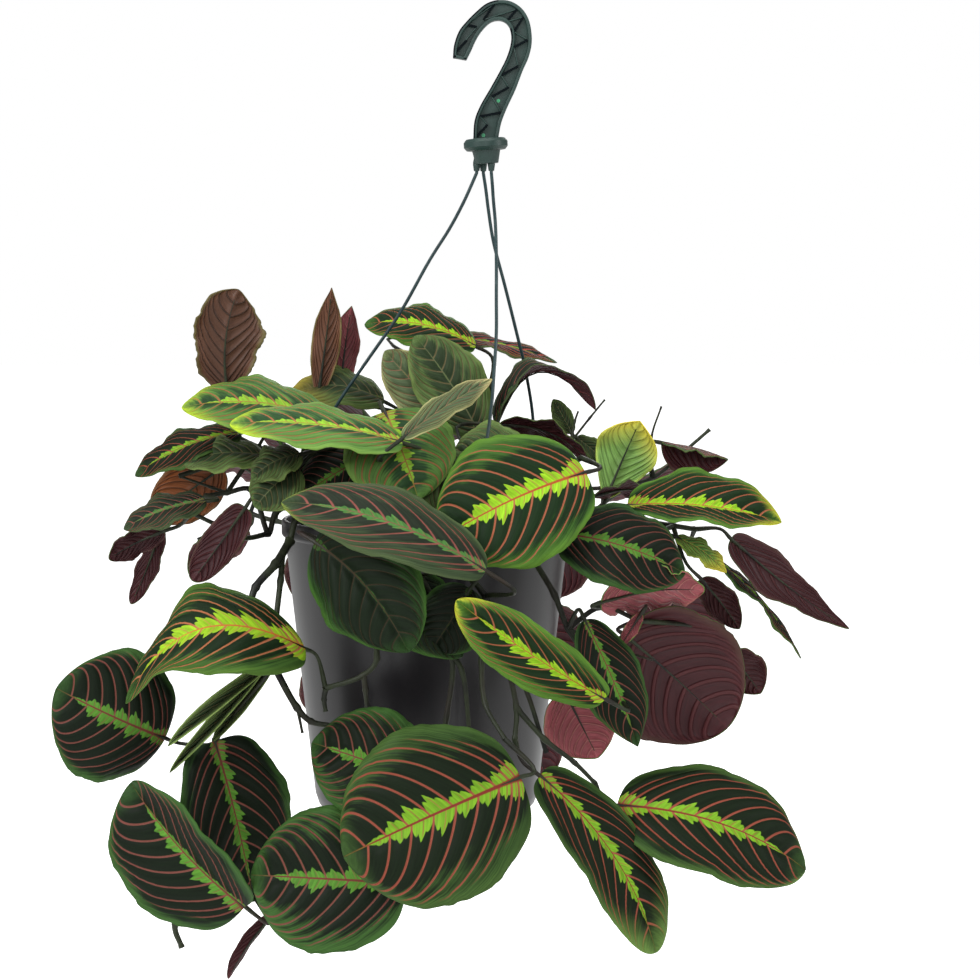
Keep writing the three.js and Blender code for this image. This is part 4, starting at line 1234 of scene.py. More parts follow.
@dataclass
class Hook:
    """The hook with its raised edges and zigzag ribs, its collar, and the body under it."""

    thickness: float = 8
    web: float = 2.6
    edge: float = 2
    rib_width: float = 1.3
    thin_rib: float = 0.7
    rib_below_edge: float = 0.5
    dark_line: float = 0.8
    dark_line_out: float = 0.05
    bend_end: int = 6
    shank_start: int = 9
    steps: int = 4
    collar_centre: float = -7.8
    collar_top: float = -70.5
    collar_radius: float = 13.2
    collar_height: float = 7
    collar_lean: float = -4
    collar_slope: float = 1.6
    body_top_radius: float = 8.5
    body_bottom_radius: float = 6.8
    body_bottom: float = -85.5
    tab_bottom: float = -90
    tab_radius: float = 2.3
    tab_foot_radius: float = 1.7
    tab_head_radius: float = 1.4
    socket_top: float = -86
    edge_round: float = 0.45
    spots: tuple = ((0, -48), (-9, -68.6))
    spot_radius: float = 1.5
    spot_height: float = 0.15
    spot_slope: float = 0.4

    def inset(self, pair: tuple, distance: float) -> tuple[Vector, Vector]:
        """Moves a pair of places in the hook's plane towards each other.

        Args:
            pair: The two places, each its x and z.
            distance: How far each moves.

        Returns:
            The places moved.
        """
        outer, inner = (Vector((x, 0, z)) for x, z in pair)
        step = (inner - outer).normalized() * distance
        return outer + step, inner - step

    def rail(self, side: int, distance: float) -> list[Vector]:
        """The smooth line along the outer (0) or inner (1) edge, moved in by a distance."""
        return smooth_curve([self.inset(pair, distance)[side] for pair in HOOK_STATIONS], self.steps)

    def rib(self, start: tuple, end: tuple, width: float) -> Piece:
        """One straight rib in the hook's plane.

        Args:
            start: The x and z of its first end.
            end: The x and z of its last end.
            width: How wide it is.

        Returns:
            The piece.
        """
        start, end = Vector((start[0], 0, start[1])), Vector((end[0], 0, end[1]))
        sideways = (end - start).cross(Vector((0, 1, 0))).normalized() * width / 2
        height = self.thickness - 2 * self.rib_below_edge
        return ribbon([start - sideways, end - sideways], [start + sideways, end + sideways], height)

    def shadows(self) -> list[Piece]:
        """Ribs dark with painted shadow, and painted shade along the edges that look to the left.

        Returns:
            The pieces.
        """
        made = [self.rib(left, right, self.rib_width) for left, right in HOOK_RIBS]
        bend, shank = slice(self.bend_end * self.steps + 1), slice(self.shank_start * self.steps, None)
        proud = self.thickness + 2 * self.dark_line_out
        for side, stretch in ((0, bend), (1, shank)):
            outside, inside = self.rail(side, -self.dark_line_out), self.rail(side, self.dark_line)
            made.append(ribbon(outside[stretch], inside[stretch], proud))
        return made

    def collar(self) -> Piece:
        """The round collar and the tapered body under it.

        Returns:
            The piece.
        """
        bottom = self.collar_top - self.collar_height
        profile = [
            (0, self.body_bottom),
            (self.body_bottom_radius, self.body_bottom),
            (self.body_top_radius, bottom),
            (self.collar_radius - self.collar_slope, bottom),
            (self.collar_radius, bottom + 2),
            (self.collar_radius, self.collar_top - 2),
            (self.collar_radius - self.collar_slope, self.collar_top),
            (0, self.collar_top),
        ]
        made = turned(profile, Vector((self.collar_centre, 0, 0)), 64)
        middle = Matrix.Translation(Vector((self.collar_centre, 0, self.collar_top)) * MM)
        lean = Matrix.Rotation(math.radians(self.collar_lean), 4, "Y")
        made.data.transform(middle @ lean @ middle.inverted())
        return made

    def build(self, exits: Sequence[Vector]) -> Piece:
        """Makes the finished hook.

        Args:
            exits: Where the strands leave the body under the collar.

        Returns:
            The piece.
        """
        leads = zip(HOOK_RIBS, HOOK_RIBS[1:])
        pieces = [
            ribbon(self.rail(0, 1), self.rail(1, 1), self.web),
            ribbon(self.rail(0, 0), self.rail(0, self.edge), self.thickness),
            ribbon(self.rail(1, 0), self.rail(1, self.edge), self.thickness),
            ribbon(self.rail(0, 0)[:2], self.rail(1, 0)[:2], self.thickness),
            *(self.rib(one[0], following[1], self.thin_rib) for one, following in leads),
            self.collar(),
        ]
        for place in exits:
            heights = (self.tab_bottom, self.body_bottom, self.body_bottom + 5)
            bottom, middle, top = (Vector((place.x, place.y, height)) for height in heights)
            pieces.append(round_bar(bottom, middle, (self.tab_foot_radius, self.tab_radius), 20))
            pieces.append(round_bar(middle, top, (self.tab_radius, self.tab_head_radius), 20))
        hook = joined(pieces)
        bevelled(hook, self.edge_round)
        smoothed(hook)
        hook.data.materials.append(HOOK_FINISH.build())
        spots = []
        for x, z in self.spots:
            back, front = Vector((x, 0, z)), Vector((x, -self.web / 2 - self.spot_height, z))
            spots.append(round_bar(back, front, (self.spot_radius, self.spot_radius - self.spot_slope), 20))
        marks, shadows = joined(spots), joined(self.shadows())
        marks.data.materials.append(SPOT_FINISH.build())
        # The ribs and edge lines with painted shade.
        shadows.data.materials.append(PAINTED_SHADE_FINISH.build())
        return dressed(joined([hook, marks, shadows]), "hanger_hook", ["hook"])


@dataclass(frozen=True)
class StrandRoute:
    """One strand's exit under the collar, the angle of its hole in the pot, and its way as seen."""

    name: str
    exit: tuple[float, float]
    angle: float
    way: tuple[Place, ...]


STRANDS = (
    StrandRoute("strand_left", (-13, 1), 165, (
        (-16, -98, 1), (-21, -109, 1), (-29, -124, 3), (-41, -143, 4), (-59, -175, 7),
        (-79, -204, 9), (-98, -232, 12), (-111, -258, 15), (-118, -286, 18),
    )),
    StrandRoute("strand_back", (-9, 4.2), 45, (
        (-7.5, -101, 6), (-6, -113, 9), (-3, -132, 13), (4, -159, 19), (11, -187, 26),
        (16, -208, 31), (21, -241, 41), (20, -270, 48), (16, -296, 53),
    )),
    StrandRoute("strand_front", (-4.2, -3.2), 285, (
        (-3.6, -98, -6), (-3, -107, -10), (-1.8, -121, -15), (-1.2, -141, -22), (-1.2, -166, -31),
        (-1.2, -187, -38), (-2.4, -208, -45), (-4, -230, -52), (-8, -257, -61), (-16, -288, -70),
    )),
)


@dataclass
class Strand:
    """One strand, with its pin through the pot's wall and the button outside."""

    pot: Pot
    hook: Hook
    radius: float = 1
    pin_radius: float = 1.5
    pin_inside: float = 3
    button_radius: float = 3.5
    button_thickness: float = 1.8
    clear: float = 0.35
    button_slope: float = 0.6
    edge_round: float = 0.3
    steps: int = 6

    def exit_of(self, route: StrandRoute) -> Vector:
        """The place where a strand leaves the body under the collar."""
        return Vector((*route.exit, self.hook.socket_top - self.clear))

    def build(self, route: StrandRoute, finish: Material) -> Piece:
        """Makes one finished strand.

        Args:
            route: Its way.
            finish: Its material.

        Returns:
            The piece.
        """
        pot, height, angle = self.pot, self.pot.pin_height, route.angle
        top = self.exit_of(route)
        leaving = Vector((top.x, top.y, self.hook.tab_bottom - 1))
        end_radius = pot.wall_radius(height) - pot.wall - self.pin_inside
        foot, above = pot.around(angle, end_radius, height), pot.around(angle, end_radius, height + 8)
        places = [leaving, *(PictureView.seen(place) for place in route.way), above, foot]
        points = [top, *smooth_curve(places, self.steps)]
        line = tube(points, [self.radius] * len(points), 3)
        outside = pot.wall_radius(height + self.button_radius) + self.clear
        end = pot.around(angle, outside + self.button_thickness, height)
        pin_start = pot.around(angle, end_radius - self.pin_radius, height)
        pin = round_bar(pin_start, end, (self.pin_radius, self.pin_radius), 16)
        start = pot.around(angle, outside, height)
        button = round_bar(start, end, (self.button_radius, self.button_radius - self.button_slope), 32)
        for piece in (pin, button):
            bevelled(piece, self.edge_round)
        strand = joined([line, pin, button])
        smoothed(strand)
        strand.data.materials.append(finish)
        return dressed(strand, f"hanger_{route.name}", [route.name])


# Leaves


@dataclass(frozen=True)
class Leaf:
    """One leaf: where it leaves its shoot, its base and tip as seen, its shape and its look.

    It leaves stem at[0] at place at[1], and face is the way that its upper face looks. The bow lifts
    its middle and the sweep bends it sideways, in millimetres. The twist, fold and curl are degrees.
    """

    at: tuple[int, int]
    base: Place
    tip: Place
    width: float
    face: Place
    look: Look = Look.DARK
    bow: float = 0
    sweep: float = 0
    twist: float = 0
    fold: float = 12
    curl: float = -14
    wave: float = 2
    waves: float = 2.5
    belly: float = 0.97
    blunt: float = 0.52
    taper: float = 0
    ragged: float = 0.07
    tone: float = 1
    rim: float = 0
    age: float = 0


@dataclass(frozen=True)
class Stem:
    """A stem's places as seen. A side stem starts at start[0]'s place start[1]."""

    start: Optional[tuple[int, int]]
    places: tuple[Place, ...]
    radius: Optional[float] = None


@dataclass(frozen=True)
class Shoot:
    """A leafy stem: its root's angle and radius, where it crosses the lip, its stems and leaves."""

    name: str
    root: tuple[float, float]
    over: Optional[float]
    stems: tuple[Stem, ...]
    leaves: tuple[Leaf, ...]


def risen(value: float, low: float, high: float) -> float:
    """A smooth rise from 0 at low to 1 at high."""
    share = min(max((value - low) / (high - low), 0.0), 1.0)
    return share * share * (3 - 2 * share)


class Blade:
    """One leaf's blade and stalk, shaped from the leaf's numbers.

    Places on the blade are given by t, from 0 at the base to 1 at the tip, and by s, from -1 at one
    edge to 1 at the other. The numbers on veins are shared with the leaf pattern. Of those on the
    stalk, the radii and the gap are millimetres, and the others are shares of its length or radius.
    """

    MAP = "blade"
    TONE = "leaf_tone"
    RIM = "leaf_rim"
    THICKNESS = 0.6
    FINE_TEAR = 0.3
    SMALL_WAVE = 0.25
    SMALL_WAVES = 3.3
    SWELL = 0.6
    SWELL_WIDTH = 50
    BEND = 0.85
    BEND_POWER = 1.2
    EVEN = 8.0
    CROWDED = 2.0
    CROWDING = 25.0
    OFFSET = 0.14
    LARGE_LENGTH = 60
    LARGE_WIDTH = 30
    LARGE_GRID = (64, 26)
    SMALL_GRID = (40, 16)
    TIP_GAP = 1e-5
    STALK_RADIUS = 1.3
    STALK_STEPS = 5
    STALK_LEAD = 0.4
    STALK_SLIM = 0.85
    SHEATH_END = 0.3
    SHEATH_SWELL = 0.45
    JOINT_AT = 0.62
    JOINT_SPREAD = 0.09
    JOINT_SWELL = 0.2
    RIB_START = 0.1
    RIB_SLIM = 0.75
    RIB_GAP = 0.1
    LEAST_RADIUS = 0.25
    models: dict[bool, Piece] = {}

    def __init__(self, leaf: Leaf) -> None:
        """Finds the leaf's length, and the directions along it, out of its upper face, and across.

        Args:
            leaf: The leaf's numbers.
        """
        self.leaf = leaf
        self.base = PictureView.seen(leaf.base)
        along = PictureView.seen(leaf.tip) - self.base
        self.length = along.length
        self.along = along.normalized()
        facing = Vector(leaf.face)
        self.facing = (facing - self.along * facing.dot(self.along)).normalized()
        self.across = self.along.cross(self.facing)

    def midrib(self, t: float) -> tuple[Vector, Vector, Vector, Vector]:
        """The midrib at a share of its length.

        Args:
            t: The share, 0 at the base and 1 at the tip.

        Returns:
            Its place, its direction, and the turned facing and across directions.
        """
        rise, slope = 4 * t * (1 - t), 4 * (1 - 2 * t)
        bow, sweep = self.facing * self.leaf.bow, self.across * self.leaf.sweep
        place = self.base + self.along * self.length * t + (bow + sweep) * rise
        direction = (self.along * self.length + (bow + sweep) * slope).normalized()
        facing = (self.facing - direction * self.facing.dot(direction)).normalized()
        facing = Quaternion(direction, math.radians(self.leaf.twist) * (t - 0.25)) @ facing
        return place, direction, facing, direction.cross(facing)

    def half_width(self, t: float) -> float:
        """Half the blade's width.

        Args:
            t: The share along it.

        Returns:
            The width in millimetres.
        """
        leaf = self.leaf
        power = leaf.blunt * (0.7 + 0.6 * t)
        round_shape = max(math.sin(math.pi * max(t, 0) ** leaf.belly), 0) ** power
        return leaf.width / 2 * round_shape * (1 - leaf.taper * risen(t, 0.35, 0.85))

    def ragged(self, t: float, s: float) -> float:
        """How far the outline strays from its smooth line.

        Args:
            t: The share along the blade.
            s: From -1 to 1 across it.

        Returns:
            The stray, as a share of the half width.
        """
        side = 40 if s > 0 else 0
        spot = self.base / 7
        slow = noise.noise(Vector((4 * t, side, spot.x + spot.z)))
        fine = noise.noise(Vector((22 * t, side + 9, spot.x - spot.z)))
        return self.leaf.ragged * (slow + self.FINE_TEAR * fine)

    def swell(self, t: float, s: float) -> float:
        """How far the blade swells between its veins.

        Args:
            t: The share along the blade.
            s: From -1 to 1 across it.

        Returns:
            The swelling, 0 to 1.
        """
        out = abs(s)
        q = max(t, 0) ** (1 / (1 - self.BEND * out**self.BEND_POWER))
        passed = self.CROWDED * (1 - math.exp(-self.CROWDING * q)) + self.EVEN * q
        lobe = (passed + (self.OFFSET if s < 0 else 0)) % 1
        return math.sin(math.pi * lobe) ** 0.7 * risen(out, 1, 0.7) * risen(out, 0, 0.2)

    def ripple(self, t: float, s: float) -> float:
        """How far the blade's edge waves, in large waves and small ones.

        Args:
            t: The share along the blade.
            s: From -1 to 1 across it.

        Returns:
            The height in millimetres.
        """
        out, turns = abs(s), 2 * math.pi * self.leaf.waves * t
        large = out**2 * math.sin(turns + (0 if s > 0 else 2))
        small = self.SMALL_WAVE * out**5 * math.sin(self.SMALL_WAVES * turns + (1 if s > 0 else 4))
        return self.leaf.wave * (large + small) * math.sin(math.pi * t)

    def place(self, t: float, s: float, rib: tuple) -> Vector:
        """A place on the blade's middle sheet.

        Args:
            t: The share along it.
            s: From -1 to 1 across it.
            rib: The midrib at t.

        Returns:
            The place in millimetres.
        """
        leaf = self.leaf
        spot, _, facing, across = rib
        out = abs(s)
        lean = math.radians(leaf.fold + leaf.curl * out)
        reach = self.half_width(t) * out * (1 + out**3 * self.ragged(t, s))
        rise = reach * math.sin(lean) + self.ripple(t, s)
        rise += self.SWELL * min(leaf.width / self.SWELL_WIDTH, 1) * self.swell(t, s)
        return spot + across * math.copysign(reach * math.cos(lean), s) + facing * rise

    @classmethod
    def model(cls, large: bool) -> Piece:
        """The flat blade that every leaf is a copy of, 1 long and 1 wide, with its map.

        Args:
            large: Whether it is the finer one, for large leaves.

        Returns:
            The piece.
        """
        if large not in cls.models:
            rows, columns = cls.LARGE_GRID if large else cls.SMALL_GRID
            deselect()
            bpy.ops.mesh.primitive_grid_add(
                x_subdivisions=rows, y_subdivisions=columns, size=1, calc_uvs=True
            )
            flat = bpy.context.object
            flat.name = "flat_blade"
            mesh = flat.data
            for vertex in mesh.vertices:
                vertex.co.x = -0.5 * math.cos(math.pi * (vertex.co.x + 0.5))
            layer = mesh.uv_layers[0]
            layer.name = cls.MAP
            for loop in mesh.loops:
                spot = mesh.vertices[loop.vertex_index].co
                layer.uv[loop.index].vector = (spot.x + 0.5, spot.y + 0.5)
            cls.models[large] = flat
        return cls.models[large]

    @classmethod
    def remove_models(cls) -> None:
        """Removes the flat blades, once every leaf has its copy."""
        for model in cls.models.values():
            bpy.data.objects.remove(model)

    def marked(self, blade: Piece, seed: float) -> None:
        """Writes on a blade what its finish reads.

        Args:
            blade: The blade.
            seed: A number of its own for its pattern.
        """
        leaf, count = self.leaf, len(blade.data.vertices)
        tone = blade.data.attributes.new(self.TONE, "FLOAT_VECTOR", "POINT")
        tone.data.foreach_set("vector", (leaf.tone, leaf.age, seed) * count)
        rim = blade.data.attributes.new(self.RIM, "FLOAT", "POINT")
        rim.data.foreach_set("value", (leaf.rim,) * count)

    def sheet(self, seed: float, finishes: Sequence[Material]) -> Piece:
        """The blade as a thin waved solid.

        Args:
            seed: A number of its own for its pattern.
            finishes: The materials of its upper and lower face.

        Returns:
            The piece.
        """
        large = self.leaf.width > self.LARGE_WIDTH and self.length > self.LARGE_LENGTH
        blade = copied(self.model(large))
        ribs = {}
        for vertex in blade.data.vertices:
            t, s = vertex.co.x + 0.5, -2 * vertex.co.y
            key = round(t, 5)
            if key not in ribs:
                ribs[key] = self.midrib(t)
            vertex.co = self.place(t, s, ribs[key]) * MM
        make_active(blade)
        bpy.ops.object.mode_set(mode="EDIT")
        bpy.ops.mesh.select_all(action="SELECT")
        bpy.ops.mesh.remove_doubles(threshold=self.TIP_GAP)
        bpy.ops.object.mode_set(mode="OBJECT")
        for finish in finishes:
            blade.data.materials.append(finish)
        modified(blade, "SOLIDIFY", thickness=self.THICKNESS * MM, offset=0, material_offset=1)
        blade.data.shade_smooth()
        self.marked(blade, seed)
        return blade

    def stalk(self, start: Vector) -> Piece:
        """The stalk, which goes on as the midrib under the blade.

        Args:
            start: Where it leaves the stem.

        Returns:
            The piece.
        """
        foot, direction, _, _ = self.midrib(0)
        lead = foot - direction * self.STALK_LEAD * (foot - start).length
        into = self.midrib(self.RIB_START)
        points = smooth_curve([start, lead, foot, into[0] - into[2] * self.THICKNESS], self.STALK_STEPS)
        radii = []
        for number, _ in enumerate(points):
            share = number / (len(points) - 1)
            sheath = risen(share, self.SHEATH_END, 0)
            joint = math.exp(-(((share - self.JOINT_AT) / self.JOINT_SPREAD) ** 2))
            girth = self.STALK_SLIM + self.SHEATH_SWELL * sheath + self.JOINT_SWELL * joint
            radii.append(self.STALK_RADIUS * girth)
        for number in range(2, 10):
            t = number / 10
            spot, _, facing, _ = self.midrib(t)
            radius = self.STALK_RADIUS * (1 - t) * self.RIB_SLIM
            points.append(spot - facing * (radius + self.RIB_GAP))
            radii.append(max(radius, self.LEAST_RADIUS))
        return tube(points, radii, 1)


SHOOTS = (
    Shoot("shoot_left_low", (215, 55), 215, (
        Stem(None, ((-129, -318, -60), (-131, -336, -68), (-134, -362, -76), (-136, -386, -82),
            (-158, -416, -74), (-171, -436, -64), (-164, -480, -52), (-150, -522, -56))),
        Stem((0, 12), ((-176, -520, -54), (-195, -544, -54), (-191, -558, -54)), 2.2),
        Stem((0, 5), ((-134, -326, -70), (-146, -340, -78), (-150, -353, -82)), 2.6),
        Stem((0, 9), ((-121, -413, -84), (-113, -421, -86), (-98, -424, -86)), 2.1),
        Stem((3, 1), ((-118, -428, -84),), 1),
    ), (
        Leaf((0, 11), (-201, -431, -62), (-266, -401, -86), 80, (-0.1, -0.98, 0.15), Look.DEEP, bow=8,
            fold=6, belly=1, blunt=0.44, rim=-0.1),
        Leaf((0, 13), (-153, -533, -98), (-221, -458, -90), 84, (-0.39, -0.85, -0.36), Look.DEEP, bow=6,
            fold=30, curl=-8, belly=1, blunt=0.45, rim=-0.05),
        Leaf((0, 11), (-171, -433, -66), (-148, -530, -62), 64, (0.4, -0.9, 0.1), Look.DEEP, bow=6, fold=24,
            belly=0.85, blunt=0.42, rim=-0.08),
        Leaf((0, 9), (-137, -386, -88), (-199, -436, -98), 16, (0.2, -0.8, 0.5), Look.SHADE, bow=3, fold=58,
            curl=0, wave=0.5, tone=1.7),
        Leaf((0, 9), (-140, -388, -82), (-198, -452, -80), 16, (0.2, -0.8, 0.5), Look.SHADE, bow=-3,
            fold=62, curl=0, wave=0.5, tone=1.7),
        Leaf((0, 9), (-135, -386, -78), (-172, -433, -72), 14, (0.2, -0.8, 0.5), Look.SHADE, fold=50,
            curl=0, wave=0.5, tone=1.1),
        Leaf((0, 11), (-175, -438, -68), (-185, -466, -62), 9, (-0.4, -0.8, 0.3), Look.BROWN, fold=50,
            curl=0, wave=0.5),
        Leaf((0, 13), (-137, -539, -66), (-163, -577, -72), 11, (-0.5, 0.8, 0.1), Look.MAROON, bow=3,
            fold=40, curl=0, wave=0.5, blunt=0.4, tone=1.3),
    )),
    Shoot("shoot_front_left", (238, 57), 238, (
        Stem(None, ((-88, -340, -92), (-73, -383, -96), (-81, -393, -98), (-104, -401, -98))),
        Stem((0, 8), ((-80, -402, -98), (-79, -413, -98))),
        Stem((0, 9), ((-105, -408, -97), (-104, -415, -97))),
    ), (
        Leaf((0, 9), (-117, -377, -98), (-224, -410, -108), 74, (-0.15, -0.66, 0.75), Look.BRIGHT, bow=40,
            fold=10, blunt=0.5, taper=0.6, rim=0.06),
        Leaf((0, 5), (-110, -313, -114), (-54, -379, -132), 62, (-0.55, -0.72, 0.42), Look.PLAIN, bow=8,
            sweep=-8, fold=20, curl=-20, blunt=0.5, rim=-0.04, tone=0.7),
    )),
    Shoot("shoot_front_mid", (258, 56), 258, (
        Stem(None, ((-48, -332, -103), (-28, -380, -104), (-31, -418, -106), (-36, -448, -108))),
        Stem((0, 7), ((-22, -390, -107), (-17, -432, -110))),
    ), (
        Leaf((0, 9), (-41, -460, -116), (-112, -434, -98), 62, (-0.1, -0.92, 0.35), Look.DEEP, bow=8,
            blunt=0.5, rim=0.12),
        Leaf((0, 9), (-56, -519, -124), (-149, -514, -116), 80, (-0.05, -0.96, 0.25), Look.DEEP, bow=6,
            belly=1, blunt=0.45, rim=0.16),
        Leaf((0, 6), (-72, -330, -102), (-22, -382, -108), 50, (0.5, -0.7, 0.45), Look.PLAIN, bow=4,
            tone=0.6),
        Leaf((0, 6), (-17, -341, -114), (-41, -379, -114), 40, (0.2, -0.9, 0.3), Look.PLAIN, bow=4,
            tone=0.5),
    )),
    Shoot("shoot_front_right", (276, 56), 276, (
        Stem(None, ((-8, -345, -100), (4, -383, -104), (11, -413, -108), (10, -432, -112))),
        Stem((0, 6), ((-10, -385, -112), (-8, -410, -118), (4, -432, -132))),
        Stem((0, 8), ((28, -432, -112), (46, -446, -112), (58, -458, -110))),
        Stem((0, 7), ((14, -396, -102), (29, -440, -104))),
    ), (
        Leaf((1, 3), (13, -455, -146), (-93, -503, -152), 97, (0, -0.96, 0.28), bow=12, belly=1, blunt=0.45,
            rim=0.1),
        Leaf((0, 9), (25, -454, -132), (95, -561, -130), 43, (0.4, -0.85, 0.3), bow=8, sweep=-7, belly=1.15,
            blunt=0.36, rim=0.04, age=0.4),
        Leaf((2, 3), (72, -472, -108), (185, -511, -104), 66, (0.1, -0.8, 0.6), bow=20, blunt=0.45,
            rim=-0.12, age=0.14),
        Leaf((0, 6), (-8, -330, -148), (-130, -289, -136), 45, (-0.05, -0.75, 0.65), Look.DULL, bow=16,
            age=0.14),
    )),
    Shoot("shoot_right_low", (308, 56), 308, (
        Stem(None, ((34, -345, -86), (42, -365, -88), (58, -388, -86), (66, -400, -90))),
        Stem((0, 7), ((62, -352, -84), (84, -360, -80))),
        Stem((0, 7), ((70, -377, -92), (93, -384, -100)), 0.9),
    ), (
        Leaf((0, 9), (64, -407, -134), (-25, -348, -156), 36, (-0.2, -0.9, -0.1), Look.FRESH, bow=6,
            fold=24, belly=1.15, blunt=0.42, rim=0.14, age=0.2),
        Leaf((0, 7), (52, -360, -102), (84, -436, -108), 37, (0.2, -0.95, 0.2), Look.DEEP, bow=6,
            blunt=0.7),
        Leaf((0, 9), (40, -403, -84), (60, -443, -88), 42, (-0.1, 0.95, 0.1), Look.ROSE, bow=4),
        Leaf((1, 1), (62, -349, -98), (124, -342, -92), 48, (0, 0.6, 0.8), Look.ROSE, bow=4, wave=3.5,
            waves=4, blunt=0.42),
        Leaf((1, 2), (75, -368, -80), (138, -425, -72), 82, (0.1, 0.95, 0.1), Look.MAROON, bow=6, belly=1,
            blunt=0.4),
        Leaf((1, 2), (139, -380, -60), (158, -404, -54), 26, (0.1, 0.95, 0.1), Look.MAROON, bow=3),
        Leaf((0, 5), (37, -308, -103), (112, -332, -104), 54, (0, -0.78, 0.62), Look.DEEP, bow=8,
            blunt=0.48, tone=0.8),
        Leaf((1, 2), (86, -356, -92), (74, -375, -94), 8, (0.3, 0.9, 0.1), Look.ROSE, fold=5),
    )),
    Shoot("shoot_right", (335, 55), 335, (
        Stem(None, ((75, -300, -44), (105, -303, -46), (118, -305, -44))),
    ), (
        Leaf((0, 8), (140, -311, -42), (211, -365, -40), 30, (-0.5, 0.75, -0.3), Look.MAROON, bow=4,
            belly=0.85, taper=0.45),
        Leaf((0, 8), (122, -317, -34), (182, -383, -26), 32, (0.7, -0.12, 0.67), bow=5),
        Leaf((0, 7), (107, -310, -66), (137, -331, -70), 16, (0.2, -0.6, 0.7), Look.AGED, bow=3, age=0.6),
        Leaf((0, 7), (122, -335, -54), (145, -365, -52), 20, (0.2, 0.9, 0.2), Look.MAROON, bow=3),
        Leaf((0, 6), (78, -291, -60), (170, -301, -70), 50, (0, -0.55, 0.83), Look.FRESH, bow=6, fold=24,
            curl=-8, age=0.26),
    )),
    Shoot("shoot_right_up", (0, 36), None, (
        Stem(None, ((10, -295, -4), (38, -282, -8), (64, -280, -10), (93, -274, -4), (112, -258, 0),
            (127, -245, 2)), 1.5),
        Stem((0, 4), ((42, -262, 6), (44, -252, 10))),
        Stem((1, 2), ((46, -240, 12), (48, -234, 12)), 0.8),
        Stem((1, 2), ((55, -238, 6), (64, -227, 6)), 0.8),
        Stem((0, 6), ((92, -250, -2), (98, -231, -2)), 0.8),
    ), (
        Leaf((0, 5), (65, -286, -24), (85, -240, -26), 37, (0.15, 0.9, 0.3), Look.AGED, bow=5, belly=1.4,
            blunt=0.7, age=0.6, tone=1.1),
        Leaf((0, 6), (98, -253, -6), (138, -263, -8), 38, (0, 0.75, 0.65), Look.MAROON, bow=3, fold=-55,
            curl=0),
        Leaf((1, 2), (44, -247, 14), (33, -227, 18), 12, (0, -0.9, 0.3), Look.SHADE, bow=1),
        Leaf((1, 2), (47, -250, 16), (66, -267, 16), 15, (0.2, -0.8, 0.4), Look.SHADE, bow=2),
    )),
    Shoot("shoot_top", (60, 26), None, (
        Stem(None, ((-24, -292, 24), (-14, -252, 18), (-6, -225, 30))),
    ), (
        Leaf((0, 4), (-12, -247, 4), (-50, -189, 8), 46, (0.25, -0.9, 0.35), Look.SHADE, bow=6, fold=14),
        Leaf((0, 4), (-29, -239, 14), (-68, -198, 18), 34, (-0.4, -0.85, 0.3), Look.PALE, bow=4, fold=20,
            tone=1.1),
        Leaf((0, 5), (-14, -195, 34), (-80, -182, 34), 46, (0, -0.5, 0.86), Look.FRESH, bow=8, belly=1.05,
            blunt=0.48),
        Leaf((0, 5), (-44, -190, 56), (35, -205, 54), 28, (0, -0.28, 0.96), Look.MAROON, bow=5),
        Leaf((0, 4), (-1, -242, 26), (58, -233, 22), 34, (0, -0.38, 0.92), Look.DULL, bow=31, twist=-60,
            fold=30),
    )),
    Shoot("shoot_top_left", (160, 32), None, (
        Stem(None, ((-92, -288, 14), (-98, -250, 18), (-98, -226, 26))),
        Stem((0, 3), ((-130, -262, -2), (-158, -248, -8), (-166, -236, -8))),
    ), (
        Leaf((0, 5), (-108, -224, 28), (-100, -160, 27), 19, (0.1, 0.9, 0.3), Look.BROWN, bow=4, fold=30,
            blunt=0.75, tone=1.5),
        Leaf((0, 5), (-95, -223, 42), (-88, -171, 44), 21, (-0.3, 0.9, 0.2), Look.ROSE, bow=3, fold=30,
            blunt=0.7, tone=0.72),
        Leaf((0, 5), (-69, -228, 36), (-127, -225, 36), 40, (0, -0.55, 0.83), Look.SHADE, bow=10, age=0.62),
        Leaf((1, 3), (-162, -223, -10), (-156, -161, -15), 42, (0.1, 0.95, 0.1), Look.BROWN, bow=-4,
            sweep=4, twist=30, belly=1.25, blunt=0.5, tone=0.85, ragged=0.3),
    )),
    Shoot("shoot_left", (190, 56), 190, (
        Stem(None, ((-149, -281, -24), (-163, -283, -24), (-176, -285, -28))),
        Stem((0, 7), ((-172, -280, -24), (-192, -273, -26)), 1),
        Stem((0, 5), ((-154, -310, -38), (-166, -304, -42), (-185, -295, -46))),
        Stem((2, 2), ((-181, -311, -44),), 0.8),
        Stem((2, 1), ((-160, -293, -44),), 0.8),
    ), (
        Leaf((0, 7), (-155, -247, -28), (-218, -273, -38), 38, (-0.3, -0.5, 0.8), bow=6),
        Leaf((0, 6), (-141, -261, -44), (-190, -266, -48), 34, (0, -0.5, 0.86), Look.SHADE, bow=5),
        Leaf((1, 2), (-166, -268, -12), (-209, -299, -8), 36, (0.2, 0.9, 0.2), Look.RUST, bow=4, tone=0.8),
        Leaf((0, 8), (-176, -288, -46), (-225, -305, -54), 28, (-0.1, -0.6, 0.8), Look.DULL, bow=4),
        Leaf((2, 3), (-201, -306, -34), (-234, -323, -40), 18, (0.2, 0.8, 0.5), Look.MAROON, bow=3,
            blunt=0.42),
        Leaf((2, 3), (-203, -305, -26), (-221, -350, -24), 14, (0.4, 0.9, 0.1), Look.MAROON, bow=3,
            blunt=0.4),
        Leaf((2, 1), (-152, -292, -60), (-184, -336, -64), 22, (0.3, 0.85, 0.3), Look.MAROON, bow=4,
            blunt=0.35),
    )),
    Shoot("shoot_centre", (235, 26), None, (
        Stem(None, ((-54, -292, -36), (-58, -262, -44))),
    ), (
